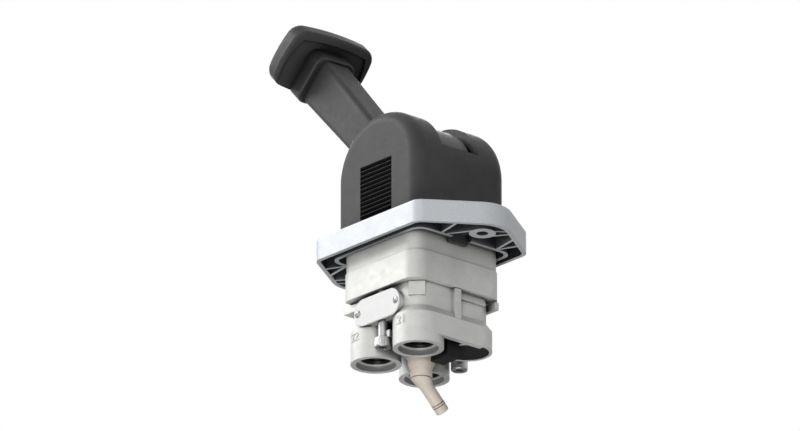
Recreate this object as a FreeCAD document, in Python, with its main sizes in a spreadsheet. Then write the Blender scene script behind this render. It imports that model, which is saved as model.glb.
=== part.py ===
import FreeCAD, Part
import math
import os
import re

import Sketcher

os.makedirs("parts", exist_ok=True)
doc = FreeCAD.newDocument("parking_brake_valve")

# The origin lies on the valve axis in the rim plane of the flange, which seats on the dashboard panel.
# +Z points to the lever side, the lever turns about Y and the port side hangs below.
# All sizes are in millimetres and degrees.

SIZES = {
    # How far a cut or a buried foot passes the face that it meets
    "overrun": 1.0,
    # Flange
    "flange_height": 11.8,
    "flange_wall": 2.2,
    "flange_apex": 63.0,
    "flange_corner_x": 38.3,
    "flange_half_y": 37.1,
    "apex_round": 18.0,
    "corner_round": 7.0,
    "flange_edge_round": 1.0,
    "fixing_pitch": 92.0,
    "fixing_boss_radius": 6.7,
    "fixing_hole_radius": 2.95,
    "fixing_floor": 2.2,
    "collar_wall": 2.2,
    "collar_round": 5.0,
    "rib_thickness": 1.5,
    "near_wall_rib_start": 16.0,
    "near_wall_rib_end": 19.4,
    "near_boss_rib_start": 13.4,
    "far_ribs_start": 20.4,
    "far_wall_rib_end": 17.5,
    "far_corner_rib_end": 25.6,
    "boss_low_rib_end": 11.5,
    "boss_side_rib_start": 2.4,
    "boss_side_rib_end": 8.4,
    "deck_opening_x": 21.5,
    "deck_opening_y": 16.5,
    # Cover
    "cover_half_x": 31.3,
    "cover_half_y": 30.1,
    "cover_wall": 2.2,
    "cover_round": 7.0,
    "slot_width": 25.0,
    "slot_reach": 72.0,
    "slot_lip": 4.5,
    "grille_width": 23.6,
    "grille_bottom": 1.6,
    "louvre_pitch": 2.36,
    "louvre_count": 13,
    "louvre_depth": 3.0,
    "louvre_step": 0.7,
    "louvre_gap": 2.03,
    "hook_width": 11.6,
    "hook_offset": 2.5,
    "hook_drop": 13.4,
    "hook_inset": 0.2,
    "hook_barb": 1.4,
    "hook_barb_lip": 0.8,
    "hook_barb_height": 2.6,
    "hook_catch": 3.0,
    # Lever motion
    "pivot_height": 39.7,
    "rest_lean": 43.5,
    "lever_swing": 73.0,
    "handle_lift": 4.0,
    "plunger_travel": 4.0,
    "running_gap": 0.3,
    "sliding_gap": 0.05,
    "seat_gap": 0.1,
    "cam_gap": 0.15,
    # Axle, cam and drum
    "axle_radius": 4.0,
    "axle_end_gap": 0.4,
    "axle_tip": 1.0,
    "bush_wall": 2.0,
    "clip_groove_radius": 3.2,
    "clip_thickness": 0.8,
    "clip_radius": 6.0,
    "cam_radius": 11.0,
    "cam_width": 8.0,
    "drum_radius": 28.2,
    "drum_wall": 2.0,
    "drum_half_width": 9.0,
    "drum_cheek": 1.6,
    "drum_hub_radius": 9.0,
    "drum_overlap": 2.0,
    # Lever core and latch
    "fork_half_width": 6.0,
    "fork_hub_radius": 8.0,
    "fork_cheek": 2.8,
    "fork_top": 26.0,
    "fork_gap": 4.3,
    "fork_gap_top": 21.0,
    "core_gap": 0.2,
    "core_half_thickness": 4.5,
    "core_half_width": 5.0,
    "core_top": 92.0,
    "latch_rod_radius": 1.6,
    "latch_pin_radius": 1.5,
    "latch_pin_place": 18.4,
    "latch_collar_radius": 2.7,
    "latch_collar_foot": 16.0,
    "latch_collar_top": 25.0,
    "latch_rod_hold": 8.0,
    "latch_spring_length": 12.0,
    "latch_spring_wire": 0.7,
    "latch_spring_turns": 5.0,
    # Handle
    "handle_thickness": 18.0,
    "handle_foot": 29.6,
    "handle_foot_low": 13.2,
    "handle_foot_high": 6.9,
    "handle_neck": 112.8,
    "handle_neck_low": 13.4,
    "handle_neck_high": 11.4,
    "handle_edge_round": 3.0,
    "grip_length": 53.6,
    "grip_width": 34.8,
    "grip_depth": 11.6,
    "grip_offset": 4.0,
    "grip_bulge": 1.8,
    "grip_corner_round": 8.0,
    "grip_top_round": 5.5,
    "grip_under_round": 1.6,
    "grip_rim": 4.2,
    "grip_recess": 1.6,
    "grip_collar_side": 3.6,
    "grip_collar_edge": 1.2,
    "grip_collar_height": 9.5,
    "grip_collar_corner": 5.0,
    "grip_collar_round": 1.0,
    # Upper housing
    "housing_half_x": 28.4,
    "housing_half_y": 29.2,
    "housing_round": 8.0,
    "housing_bottom": 24.0,
    "housing_step_place": 9.0,
    "housing_step": 0.5,
    "housing_notch_width": 3.6,
    "housing_notch_top": 13.4,
    "joint_depth": 3.2,
    "spring_bore_radius": 13.0,
    "spring_bore_roof": 4.6,
    "guide_radius": 9.0,
    "guide_top": 17.0,
    "upright_inner": 10.5,
    "upright_thickness": 4.5,
    "upright_foot": 20.0,
    "upright_head_radius": 15.4,
    "upright_waist": 13.9,
    "latch_notch_depth": 2.4,
    # Port block
    "port_spread": 16.0,
    "block_corner": 9.8,
    "port_boss_radius": 12.75,
    "shoulder_top": 36.5,
    "shoulder_height": 4.0,
    "port_face": 56.4,
    "port_recess_radius": 10.1,
    "port_recess_depth": 2.8,
    "port_thread_radius": 7.25,
    "port_thread_depth": 14.0,
    "port_chamfer": 0.9,
    "port_gallery_radius": 3.2,
    "port_gallery_rise": 6.0,
    "wall_bottom": 51.5,
    "side_wall_thickness": 3.0,
    "block_floor": 47.0,
    "spare_boss_bottom": 51.0,
    "spare_boss_wall": 1.5,
    "exhaust_boss_radius": 9.6,
    "exhaust_boss_bottom": 52.0,
    "side_rib_low": 2.3,
    "side_rib_high": 1.5,
    "side_rib_proud": 2.7,
    "ledge_proud": 1.6,
    "ledge_height": 4.4,
    "ledge_lip": 0.7,
    "ledge_end": 18.7,
    "corner_pad_width": 8.4,
    "corner_pad_proud": 0.8,
    "corner_pad_height": 7.3,
    "corner_lug_x": 28.2,
    "corner_lug_y": 26.6,
    "corner_lug_gap": 1.2,
    "corner_lug_height": 3.8,
    "lug_half_width": 5.2,
    "lug_reach": 25.6,
    "lug_thickness": 3.5,
    # Body screws
    "screw_place": 25.3,
    "screw_radius": 2.5,
    "screw_head_radius": 4.25,
    "screw_head_height": 5.0,
    "screw_seat": 49.0,
    "screw_end": 11.0,
    "screw_hole_gap": 0.3,
    "screw_socket_radius": 2.0,
    "screw_socket_depth": 2.6,
    # Flange screws
    "flange_screw_x": 24.4,
    "flange_screw_y": 22.0,
    "flange_screw_radius": 2.0,
    "flange_screw_head": 3.6,
    "flange_screw_head_height": 2.4,
    "flange_screw_length": 12.0,
    # Gasket
    "gasket_thickness": 0.8,
    # Label plate
    "plate_length": 34.0,
    "plate_height": 14.0,
    "plate_thickness": 0.8,
    "plate_drop": 33.3,
    "plate_backing": 3.0,
    "plate_overhang": 0.6,
    "rivet_pitch": 28.5,
    "rivet_radius": 1.1,
    "rivet_head_radius": 1.9,
    "rivet_head_height": 0.9,
    "rivet_length": 5.0,
    # Valve parts on the axis
    "plunger_radius": 6.0,
    "plunger_plate_radius": 11.0,
    "plunger_plate_height": 3.0,
    "plunger_spigot_radius": 5.4,
    "plunger_spigot_height": 2.5,
    "main_spring_length": 10.0,
    "main_spring_radius": 8.2,
    "main_spring_wire": 2.2,
    "main_spring_turns": 3.0,
    "piston_clearance": 2.6,
    "piston_height": 5.0,
    "piston_recess": 2.0,
    "inlet_lift": 1.0,
    "stem_radius": 3.6,
    "piston_seal_section": 1.1,
    "stem_seal_section": 0.9,
    "seal_ease": 0.02,
    "stem_seal_depth": 3.4,
    "plunger_seal_height": 13.2,
    "guide_relief": 0.1,
    "stem_guide_depth": 7.0,
    "return_spring_radius": 10.2,
    "return_spring_wire": 0.8,
    "return_spring_turns": 2.0,
    "delivery_chamber_radius": 7.0,
    "delivery_chamber_depth": 4.0,
    "seat_radius": 8.0,
    "seat_height": 2.4,
    "seat_bore": 4.9,
    "inlet_radius": 6.4,
    "inlet_bore": 2.0,
    "inlet_seal_height": 1.2,
    "inlet_disc_height": 1.4,
    "inlet_tail_radius": 3.2,
    "inlet_tail_height": 2.4,
    "inlet_spring_radius": 4.6,
    "inlet_spring_wire": 0.9,
    "inlet_spring_turns": 3.0,
    "inlet_chamber_depth": 9.0,
    # Exhaust elbow
    "elbow_socket_radius": 4.6,
    "elbow_socket_depth": 5.0,
    "elbow_bulge_radius": 6.8,
    "elbow_bulge_bevel": 1.0,
    "elbow_bulge_top": 53.6,
    "elbow_bulge_low": 56.6,
    "elbow_neck_radius": 5.5,
    "elbow_neck_top": 59.4,
    "elbow_bend_drop": 64.0,
    "elbow_ring_drop": 64.4,
    "elbow_knee_radius": 5.1,
    "elbow_throat": 5.6,
    "elbow_angle": 45.0,
    "elbow_tube_radius": 3.4,
    "elbow_tube_length": 20.3,
    "elbow_barb_radius": 3.55,
    "elbow_barb_length": 5.1,
    "elbow_barb_ramp": 0.6,
    "elbow_end_round": 0.6,
    "elbow_bore": 2.3,
    # Silencer
    "silencer_thickness": 3.5,
    "silencer_near": 10.2,
    "silencer_far": 22.5,
    "silencer_low_y": 2.7,
    "silencer_high_y": 5.3,
    "silencer_drop": 58.5,
    "silencer_inset": 0.2,
}

FUNCTIONS = ("sin", "cos", "hypot", "abs")

# Less than any size of the drawing
TINY = 0.001
# Sets one group of edges apart from another when edges are picked by place or length
MARGIN = 1.0


def write_sheet():
    """Put every driving size on the sheet, one row each, with its name as alias."""
    made = doc.addObject("Spreadsheet::Sheet", "sizes")
    for row, (name, value) in enumerate(SIZES.items(), 1):
        made.set(f"A{row}", name)
        made.set(f"B{row}", str(value))
        made.setAlias(f"B{row}", name)
    doc.recompute()
    return made


sheet = write_sheet()


def formula(text):
    """Turn plain size names into names that the sheet knows."""

    def looked_up(match):
        word = match.group(0)
        return word if word in FUNCTIONS else "sizes." + word

    return re.sub(r"[a-z][a-z_]*", looked_up, text)


def value_of(text):
    """Work out a formula with the sheet's present values."""
    return float(sheet.evalExpression(formula(text)))


def negative(text):
    """The same formula with the other sign."""
    return "0" if text == "0" else f"-({text})"


# Sketches

def new_body(label):
    made = doc.addObject("PartDesign::Body", label)
    made.Label = label
    return made


def plane_of(body, role):
    """One of the body's own origin planes, found by its role."""
    return [part for part in body.Origin.OriginFeatures if part.Role == role][0]


def new_sketch(body, name, plane, height="0"):
    """A sketch on an origin plane, moved along the plane's normal by a formula."""
    made = body.newObject("Sketcher::SketchObject", name)
    made.AttachmentSupport = [(plane_of(body, plane), "")]
    made.MapMode = "FlatFace"
    if height != "0":
        made.setExpression("AttachmentOffset.Base.z", formula(height))
    return made


def bind(sketch, kind, *args, size):
    """Add a driving constraint and tie it to a formula."""
    index = sketch.addConstraint(Sketcher.Constraint(kind, *args, value_of(size)))
    sketch.setExpression(f"Constraints[{index}]", formula(size))


def pin_point(sketch, geometry, vertex, x, y):
    """Fix one point of the sketch at formulas for x and y."""
    if x == "0":
        sketch.addConstraint(Sketcher.Constraint("PointOnObject", geometry, vertex, -2))
    else:
        bind(sketch, "DistanceX", -1, 1, geometry, vertex, size=x)
    if y == "0":
        sketch.addConstraint(Sketcher.Constraint("PointOnObject", geometry, vertex, -1))
    else:
        bind(sketch, "DistanceY", -1, 1, geometry, vertex, size=y)


def place(x, y):
    return FreeCAD.Vector(value_of(x), value_of(y), 0)


def draw_polygon(sketch, corners):
    """A closed polygon through corners given as pairs of formulas."""
    first = sketch.GeometryCount
    count = len(corners)
    for index, corner in enumerate(corners):
        following = corners[(index + 1) % count]
        sketch.addGeometry(Part.LineSegment(place(*corner), place(*following)), False)
    for index in range(count):
        after = first + (index + 1) % count
        sketch.addConstraint(Sketcher.Constraint("Coincident", first + index, 2, after, 1))
    for index, (x, y) in enumerate(corners):
        pin_point(sketch, first + index, 1, x, y)


def draw_box(sketch, left, right, low, high):
    draw_polygon(sketch, [(left, low), (right, low), (right, high), (left, high)])


def draw_centred_box(sketch, half_x, half_y):
    draw_box(sketch, negative(half_x), half_x, negative(half_y), half_y)


def draw_circle(sketch, radius, x="0", y="0"):
    index = sketch.addGeometry(Part.Circle(place(x, y), FreeCAD.Vector(0, 0, 1), value_of(radius)), False)
    bind(sketch, "Radius", index, size=radius)
    pin_point(sketch, index, 3, x, y)


def draw_round_box(sketch, half_x, half_y, radius, middle="0"):
    """A rectangle with round corners, centred at x = middle."""
    right = f"({middle}) + ({half_x}) - ({radius})"
    left = f"({middle}) - ({half_x}) + ({radius})"
    high = f"({half_y}) - ({radius})"
    low = negative(high)
    reach = value_of(radius)
    quarter = math.pi / 2
    arcs = []
    for turns, (x, y) in enumerate([
            (right, high), (left, high), (left, low), (right, low)]):
        ring = Part.Circle(place(x, y), FreeCAD.Vector(0, 0, 1), reach)
        arc = sketch.addGeometry(Part.ArcOfCircle(ring, turns * quarter, (turns + 1) * quarter), False)
        arcs.append((arc, x, y))
    for (arc, x, y), (following, _, _) in zip(arcs, arcs[1:] + arcs[:1]):
        start = sketch.getPoint(arc, 2)
        end = sketch.getPoint(following, 1)
        line = sketch.addGeometry(Part.LineSegment(start, end), False)
        sketch.addConstraint(Sketcher.Constraint("Tangent", arc, 2, line, 1))
        sketch.addConstraint(Sketcher.Constraint("Tangent", line, 2, following, 1))
    for arc, x, y in arcs:
        bind(sketch, "Radius", arc, size=radius)
        pin_point(sketch, arc, 3, x, y)


def draw_stadium(sketch, half_length, half_height, middle):
    """A slot outline with round ends, centred at x = 0 and y = middle."""
    centre = f"({half_length}) - ({half_height})"
    radius = value_of(half_height)
    up = FreeCAD.Vector(0, 0, 1)
    quarter = math.pi / 2
    high = f"({middle}) + ({half_height})"
    low = f"({middle}) - ({half_height})"
    right = sketch.addGeometry(
        Part.ArcOfCircle(Part.Circle(place(centre, middle), up, radius), -quarter, quarter), False)
    top = sketch.addGeometry(
        Part.LineSegment(place(centre, high), place(negative(centre), high)), False)
    left = sketch.addGeometry(
        Part.ArcOfCircle(Part.Circle(place(negative(centre), middle), up, radius), quarter, 3 * quarter),
        False)
    bottom = sketch.addGeometry(
        Part.LineSegment(place(negative(centre), low), place(centre, low)), False)
    for start, end in ((right, top), (top, left), (left, bottom), (bottom, right)):
        sketch.addConstraint(Sketcher.Constraint("Tangent", start, 2, end, 1))
    bind(sketch, "Radius", right, size=half_height)
    pin_point(sketch, right, 3, centre, middle)
    pin_point(sketch, left, 3, negative(centre), middle)


# Features

def grow(body, sketch, length, both_ways=False, downward=False):
    """Pad a sketch by a formula."""
    made = body.newObject("PartDesign::Pad", sketch.Name + "_pad")
    made.Profile = sketch
    made.setExpression("Length", formula(length))
    made.Midplane = both_ways
    made.Reversed = downward
    return made


def cut(body, sketch, depth, both_ways=False, upward=False):
    """Pocket a sketch by a formula, and make sure that it takes something away."""
    doc.recompute()
    before = body.Shape.Volume
    made = body.newObject("PartDesign::Pocket", sketch.Name + "_cut")
    made.Profile = sketch
    made.setExpression("Length", formula(depth))
    made.Midplane = both_ways
    made.Reversed = upward
    doc.recompute()
    if body.Shape.Volume > before - TINY:
        raise ValueError(f"{made.Name} takes nothing away")
    return made


def turn(body, sketch, axis="V_Axis", angle="360", both_ways=False):
    """Revolve a sketch about one of its own axes."""
    made = body.newObject("PartDesign::Revolution", sketch.Name + "_turn")
    made.Profile = sketch
    made.ReferenceAxis = (sketch, [axis])
    made.Midplane = both_ways
    made.setExpression("Angle", formula(angle))
    return made


def groove(body, sketch, axis="V_Axis"):
    """Turn a sketch out of the body, and make sure that it takes something away."""
    doc.recompute()
    before = body.Shape.Volume
    made = body.newObject("PartDesign::Groove", sketch.Name + "_groove")
    made.Profile = sketch
    made.ReferenceAxis = (sketch, [axis])
    made.Angle = 360
    doc.recompute()
    if body.Shape.Volume > before - TINY:
        raise ValueError(f"{made.Name} takes nothing away")
    return made


def repeat_round(body, features, name, count=2):
    """Repeat features round the body's Z axis."""
    made = body.newObject("PartDesign::PolarPattern", name)
    made.Originals = features
    axis = [part for part in body.Origin.OriginFeatures if part.Role == "Z_Axis"][0]
    made.Axis = (axis, [""])
    made.Angle = 360
    made.Occurrences = count
    body.Tip = made
    return made


def mirror(body, features, name, plane):
    made = body.newObject("PartDesign::Mirrored", name)
    made.Originals = features
    made.MirrorPlane = (plane_of(body, plane), [""])
    body.Tip = made
    return made


def repeat_line(body, features, name, axis, length, count):
    made = body.newObject("PartDesign::LinearPattern", name)
    made.Originals = features
    line = [part for part in body.Origin.OriginFeatures if part.Role == axis][0]
    made.Direction = (line, [""])
    made.setExpression("Length", formula(length))
    made.setExpression("Occurrences", formula(count))
    body.Tip = made
    return made


def edges_where(feature, test):
    """The names of a feature's edges that pass a test of the edge."""
    doc.recompute()
    shape = feature.Shape
    return [f"Edge{index}" for index, edge in enumerate(shape.Edges, 1) if test(edge)]


def faces_where(feature, test):
    doc.recompute()
    return [f"Face{index}" for index, face in enumerate(feature.Shape.Faces, 1) if test(face)]


def near(first, second, slack=0.01):
    return abs(first - second) < slack


def upright_edge(edge):
    """Whether an edge is a straight line along Z."""
    box = edge.BoundBox
    return box.XLength < TINY and box.YLength < TINY


def level_edge(edge, height):
    """Whether an edge lies wholly in one plane square to Z."""
    box = edge.BoundBox
    return near(box.ZMin, height) and near(box.ZMax, height)


def round_edges(body, base, name, radius, test):
    """Fillet the edges that pass a test."""
    names = edges_where(base, test)
    if not names:
        raise ValueError(f"{name} finds no edge")
    made = body.newObject("PartDesign::Fillet", name)
    made.Base = (base, names)
    made.setExpression("Radius", formula(radius))
    return made


def bevel_edges(body, base, name, size, test):
    names = edges_where(base, test)
    if not names:
        raise ValueError(f"{name} finds no edge")
    made = body.newObject("PartDesign::Chamfer", name)
    made.Base = (base, names)
    made.setExpression("Size", formula(size))
    return made


def hollow(body, base, name, wall, test):
    """Shell a solid inwards, open at the faces that pass a test."""
    made = body.newObject("PartDesign::Thickness", name)
    made.Base = (base, faces_where(base, test))
    made.setExpression("Value", formula(wall))
    made.Reversed = True
    made.Mode = 0
    made.Join = 0
    return made


def level_face(face, height):
    box = face.BoundBox
    return near(box.ZMin, height) and near(box.ZMax, height)


def stand_on_lever(body):
    """Place a piece that is modelled upright about the pivot so that it leans with the lever at rest."""
    body.Placement = FreeCAD.Placement(
        FreeCAD.Vector(0, 0, 0), FreeCAD.Rotation(FreeCAD.Vector(0, 1, 0), -value_of("rest_lean")))
    body.setExpression("Placement.Base.z", formula("pivot_height"))


def helical_spring(label, radius, wire, turns, foot, height):
    """A compression spring about Z, standing at foot and as long as height, of rectangular wire."""
    body = new_body(label)
    section = new_sketch(body, label + "_wire", "XZ_Plane")
    draw_box(section, f"{radius} - {wire} / 2", f"{radius} + {wire} / 2", foot, f"({foot}) + {wire}")
    made = body.newObject("PartDesign::AdditiveHelix", label + "_coil")
    made.Profile = section
    made.ReferenceAxis = (section, ["V_Axis"])
    made.Mode = "height-turns-growth"
    made.setExpression("Height", formula(f"({height}) - ({wire})"))
    made.setExpression("Turns", formula(turns))
    made.Growth = 0
    made.LeftHanded = False
    made.Reversed = False
    return body


# Flange

def add_rib(body, name, start, end, height):
    """A straight rib of constant thickness across Y between two places on the underside."""
    half = "rib_thickness / 2"
    sketch = new_sketch(body, name, "XY_Plane")
    draw_polygon(sketch, [
        (start[0], f"{start[1]} - {half}"),
        (end[0], f"{end[1]} - {half}"),
        (end[0], f"{end[1]} + {half}"),
        (start[0], f"{start[1]} + {half}"),
    ])
    return grow(body, sketch, height)


def ear_wall_x(y):
    """Where the middle of the slanted ear wall lies at a distance y from the long axis."""
    slope = "(flange_apex - flange_corner_x) / flange_half_y"
    back = "flange_wall / 2 * hypot(flange_apex - flange_corner_x; flange_half_y) / flange_half_y"
    return f"flange_apex - {slope} * abs({y}) - {back}"


def build_flange():
    body = new_body("mounting_flange")
    outline = new_sketch(body, "flange_outline", "XY_Plane")
    draw_polygon(outline, [
        ("flange_apex", "0"),
        ("flange_corner_x", "flange_half_y"),
        ("-flange_corner_x", "flange_half_y"),
        ("-flange_apex", "0"),
        ("-flange_corner_x", "-flange_half_y"),
        ("flange_corner_x", "-flange_half_y"),
    ])
    block = grow(body, outline, "flange_height")
    corner_x = value_of("flange_corner_x")
    ears = round_edges(body, block, "ear_rounds", "apex_round",
                       lambda edge: upright_edge(edge) and abs(edge.BoundBox.XMin) > corner_x + MARGIN)
    corners = round_edges(body, ears, "corner_rounds", "corner_round",
                          lambda edge: upright_edge(edge) and near(abs(edge.BoundBox.XMin), corner_x))
    shell = hollow(body, corners, "flange_shell", "flange_wall", lambda face: level_face(face, 0))
    top = value_of("flange_height")
    round_edges(body, shell, "flange_edge", "flange_edge_round", lambda edge: level_edge(edge, top))

    inside = "flange_height - flange_wall"
    collar = new_sketch(body, "collar_outline", "XY_Plane")
    inner_x = "cover_half_x + 2 * running_gap"
    inner_y = "housing_half_y + running_gap"
    draw_round_box(collar, f"{inner_x} + collar_wall", f"{inner_y} + collar_wall",
                   "collar_round + collar_wall")
    draw_round_box(collar, inner_x, inner_y, "collar_round")
    grow(body, collar, inside)

    bosses = new_sketch(body, "fixing_bosses", "XY_Plane")
    draw_circle(bosses, "fixing_boss_radius", "fixing_pitch / 2", "0")
    draw_circle(bosses, "fixing_boss_radius", "-fixing_pitch / 2", "0")
    grow(body, bosses, inside)

    collar_x = "cover_half_x + 2 * running_gap + collar_wall / 2"
    boss_x = "fixing_pitch / 2"
    ribs = [
        add_rib(body, "rib_near_wall", (collar_x, "-near_wall_rib_start"),
                (ear_wall_x("near_wall_rib_end"), "-near_wall_rib_end"), inside),
        add_rib(body, "rib_near_boss", (collar_x, "-near_boss_rib_start"),
                (boss_x, "-fixing_boss_radius + rib_thickness / 2"), inside),
        add_rib(body, "rib_far_wall", (collar_x, "far_ribs_start"),
                (ear_wall_x("far_wall_rib_end"), "far_wall_rib_end"), inside),
        add_rib(body, "rib_far_corner", (collar_x, "far_ribs_start"),
                (ear_wall_x("far_corner_rib_end"), "far_corner_rib_end"), inside),
        add_rib(body, "rib_boss_low", (boss_x, "fixing_boss_radius - rib_thickness / 2"),
                (ear_wall_x("boss_low_rib_end"), "boss_low_rib_end"), inside),
        add_rib(body, "rib_boss_side", (f"{boss_x} + fixing_boss_radius - overrun", "boss_side_rib_start"),
                (ear_wall_x("boss_side_rib_end"), "boss_side_rib_end"), inside),
    ]
    repeat_round(body, ribs, "opposite_ribs")

    opening = new_sketch(body, "deck_opening", "XY_Plane", "flange_height")
    draw_centred_box(opening, "deck_opening_x", "deck_opening_y")
    cut(body, opening, "flange_wall * 2")

    holes = new_sketch(body, "fixing_holes", "XY_Plane")
    draw_circle(holes, "fixing_hole_radius", "fixing_pitch / 2", "0")
    draw_circle(holes, "fixing_hole_radius", "-fixing_pitch / 2", "0")
    cut(body, holes, "flange_height - fixing_floor", upward=True)

    screws = new_sketch(body, "deck_screw_holes", "XY_Plane", "flange_height")
    for x in ("flange_screw_x", "-flange_screw_x"):
        for y in ("flange_screw_y", "-flange_screw_y"):
            draw_circle(screws, "flange_screw_radius + screw_hole_gap", x, y)
    cut(body, screws, "flange_wall * 2")

    slot = new_sketch(body, "hook_slot", "XY_Plane", "flange_height")
    draw_box(slot, "housing_half_x + running_gap", "cover_half_x + 2 * running_gap",
             "-hook_offset - hook_width / 2 - running_gap", "-hook_offset + hook_width / 2 + running_gap")
    slot_cut = cut(body, slot, "flange_wall * 2")
    window = new_sketch(body, "hook_window", "XY_Plane")
    draw_box(window, "cover_half_x + running_gap", "cover_half_x + 2 * running_gap + collar_wall * 2",
             "-hook_offset - hook_width / 2 - running_gap", "-hook_offset + hook_width / 2 + running_gap")
    window_cut = cut(body, window, "flange_height - flange_wall - hook_catch", upward=True)
    repeat_round(body, [slot_cut, window_cut], "opposite_hook_slot")
    return body


# Cover

def build_cover():
    body = new_body("cover")
    profile = new_sketch(body, "cover_arch", "XZ_Plane")
    half = value_of("cover_half_x")
    pivot = value_of("pivot_height")
    floor = value_of("flange_height")
    up = FreeCAD.Vector(0, 0, 1)
    arch = profile.addGeometry(
        Part.ArcOfCircle(Part.Circle(FreeCAD.Vector(0, pivot, 0), up, half), 0, math.pi), False)
    left = profile.addGeometry(
        Part.LineSegment(FreeCAD.Vector(-half, pivot, 0), FreeCAD.Vector(-half, floor, 0)), False)
    bottom = profile.addGeometry(
        Part.LineSegment(FreeCAD.Vector(-half, floor, 0), FreeCAD.Vector(half, floor, 0)), False)
    right = profile.addGeometry(
        Part.LineSegment(FreeCAD.Vector(half, floor, 0), FreeCAD.Vector(half, pivot, 0)), False)
    profile.addConstraint(Sketcher.Constraint("Tangent", arch, 2, left, 1))
    profile.addConstraint(Sketcher.Constraint("Coincident", left, 2, bottom, 1))
    profile.addConstraint(Sketcher.Constraint("Coincident", bottom, 2, right, 1))
    profile.addConstraint(Sketcher.Constraint("Tangent", right, 2, arch, 1))
    profile.addConstraint(Sketcher.Constraint("Horizontal", bottom))
    profile.addConstraint(Sketcher.Constraint("Vertical", left))
    pin_point(profile, arch, 3, "0", "pivot_height")
    bind(profile, "Radius", arch, size="cover_half_x")
    bind(profile, "DistanceY", -1, 1, bottom, 1, size="flange_height")
    block = grow(body, profile, "2 * cover_half_y", both_ways=True)
    half_y = value_of("cover_half_y")
    rounded = round_edges(
        body, block, "cover_rounds", "cover_round",
        lambda edge: near(abs(edge.BoundBox.YMin), half_y) and near(edge.BoundBox.YLength, 0)
        and edge.BoundBox.ZLength > MARGIN)
    hollow(body, rounded, "cover_shell", "cover_wall", lambda face: level_face(face, floor))

    # Lips stand inwards along both edges of the lever slot.
    lips = new_sketch(body, "slot_lips", "XZ_Plane", "slot_width / 2")
    draw_circle(lips, "cover_half_x - cover_wall / 2", "0", "pivot_height")
    draw_circle(lips, "cover_half_x - slot_lip", "0", "pivot_height")
    lip = grow(body, lips, "cover_wall")
    mirror(body, [lip], "slot_lip_pair", "XZ_Plane")
    below = new_sketch(body, "lip_trim", "XZ_Plane")
    inner = "cover_half_x - cover_wall"
    draw_box(below, negative(inner), inner, "pivot_height - 2 * cover_half_x", "pivot_height")
    cut(body, below, "slot_width + 4 * cover_wall", both_ways=True)

    slot = new_sketch(body, "lever_slot", "XZ_Plane")
    reach = "2 * cover_half_x"
    side = f"{reach} * sin(slot_reach)"
    rise = f"pivot_height + {reach} * cos(slot_reach)"
    draw_polygon(slot, [
        ("0", "pivot_height"),
        (side, rise),
        (side, f"pivot_height + {reach}"),
        (negative(side), f"pivot_height + {reach}"),
        (negative(side), rise),
    ])
    cut(body, slot, "slot_width", both_ways=True)

    backing = new_sketch(body, "grille_backing", "XZ_Plane", "cover_half_y - louvre_depth - cover_wall")
    height = "louvre_pitch * louvre_count"
    draw_box(backing, "-grille_width / 2 - cover_wall", "grille_width / 2 + cover_wall",
             "flange_height", f"flange_height + grille_bottom + {height} + cover_wall")
    grow(body, backing, "louvre_depth + cover_wall / 2")
    louvre = new_sketch(body, "louvre", "YZ_Plane")
    face = "-cover_half_y"
    foot = "flange_height + grille_bottom"
    draw_polygon(louvre, [
        (f"{face} - overrun", foot),
        (f"{face} + louvre_depth", foot),
        (f"{face} + louvre_depth", f"{foot} + louvre_step"),
        (face, f"{foot} + louvre_gap"),
        (f"{face} - overrun", f"{foot} + louvre_gap"),
    ])
    first = cut(body, louvre, "grille_width", both_ways=True)
    repeat_line(body, [first], "louvres", "Z_Axis", "louvre_pitch * (louvre_count - 1)", "louvre_count")

    hook = new_sketch(body, "hook_blade", "XY_Plane", "flange_height")
    near_side = "-hook_offset - hook_width / 2"
    far_side = "-hook_offset + hook_width / 2"
    draw_box(hook, "cover_half_x - cover_wall", "cover_half_x - hook_inset", near_side, far_side)
    blade = grow(body, hook, "hook_drop", downward=True)
    barb = new_sketch(body, "hook_barb_outline", "XZ_Plane", "hook_offset")
    catch = "flange_height - flange_wall - hook_catch - sliding_gap"
    root = "cover_half_x - cover_wall / 2"
    tip = "cover_half_x - hook_inset + hook_barb"
    draw_polygon(barb, [
        (root, catch),
        (tip, catch),
        (tip, f"{catch} - hook_barb_lip"),
        (root, f"{catch} - hook_barb_height - hook_barb"),
    ])
    tooth = grow(body, barb, "hook_width", both_ways=True)
    repeat_round(body, [blade, tooth], "opposite_hook")
    return body


# Upper housing

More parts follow.
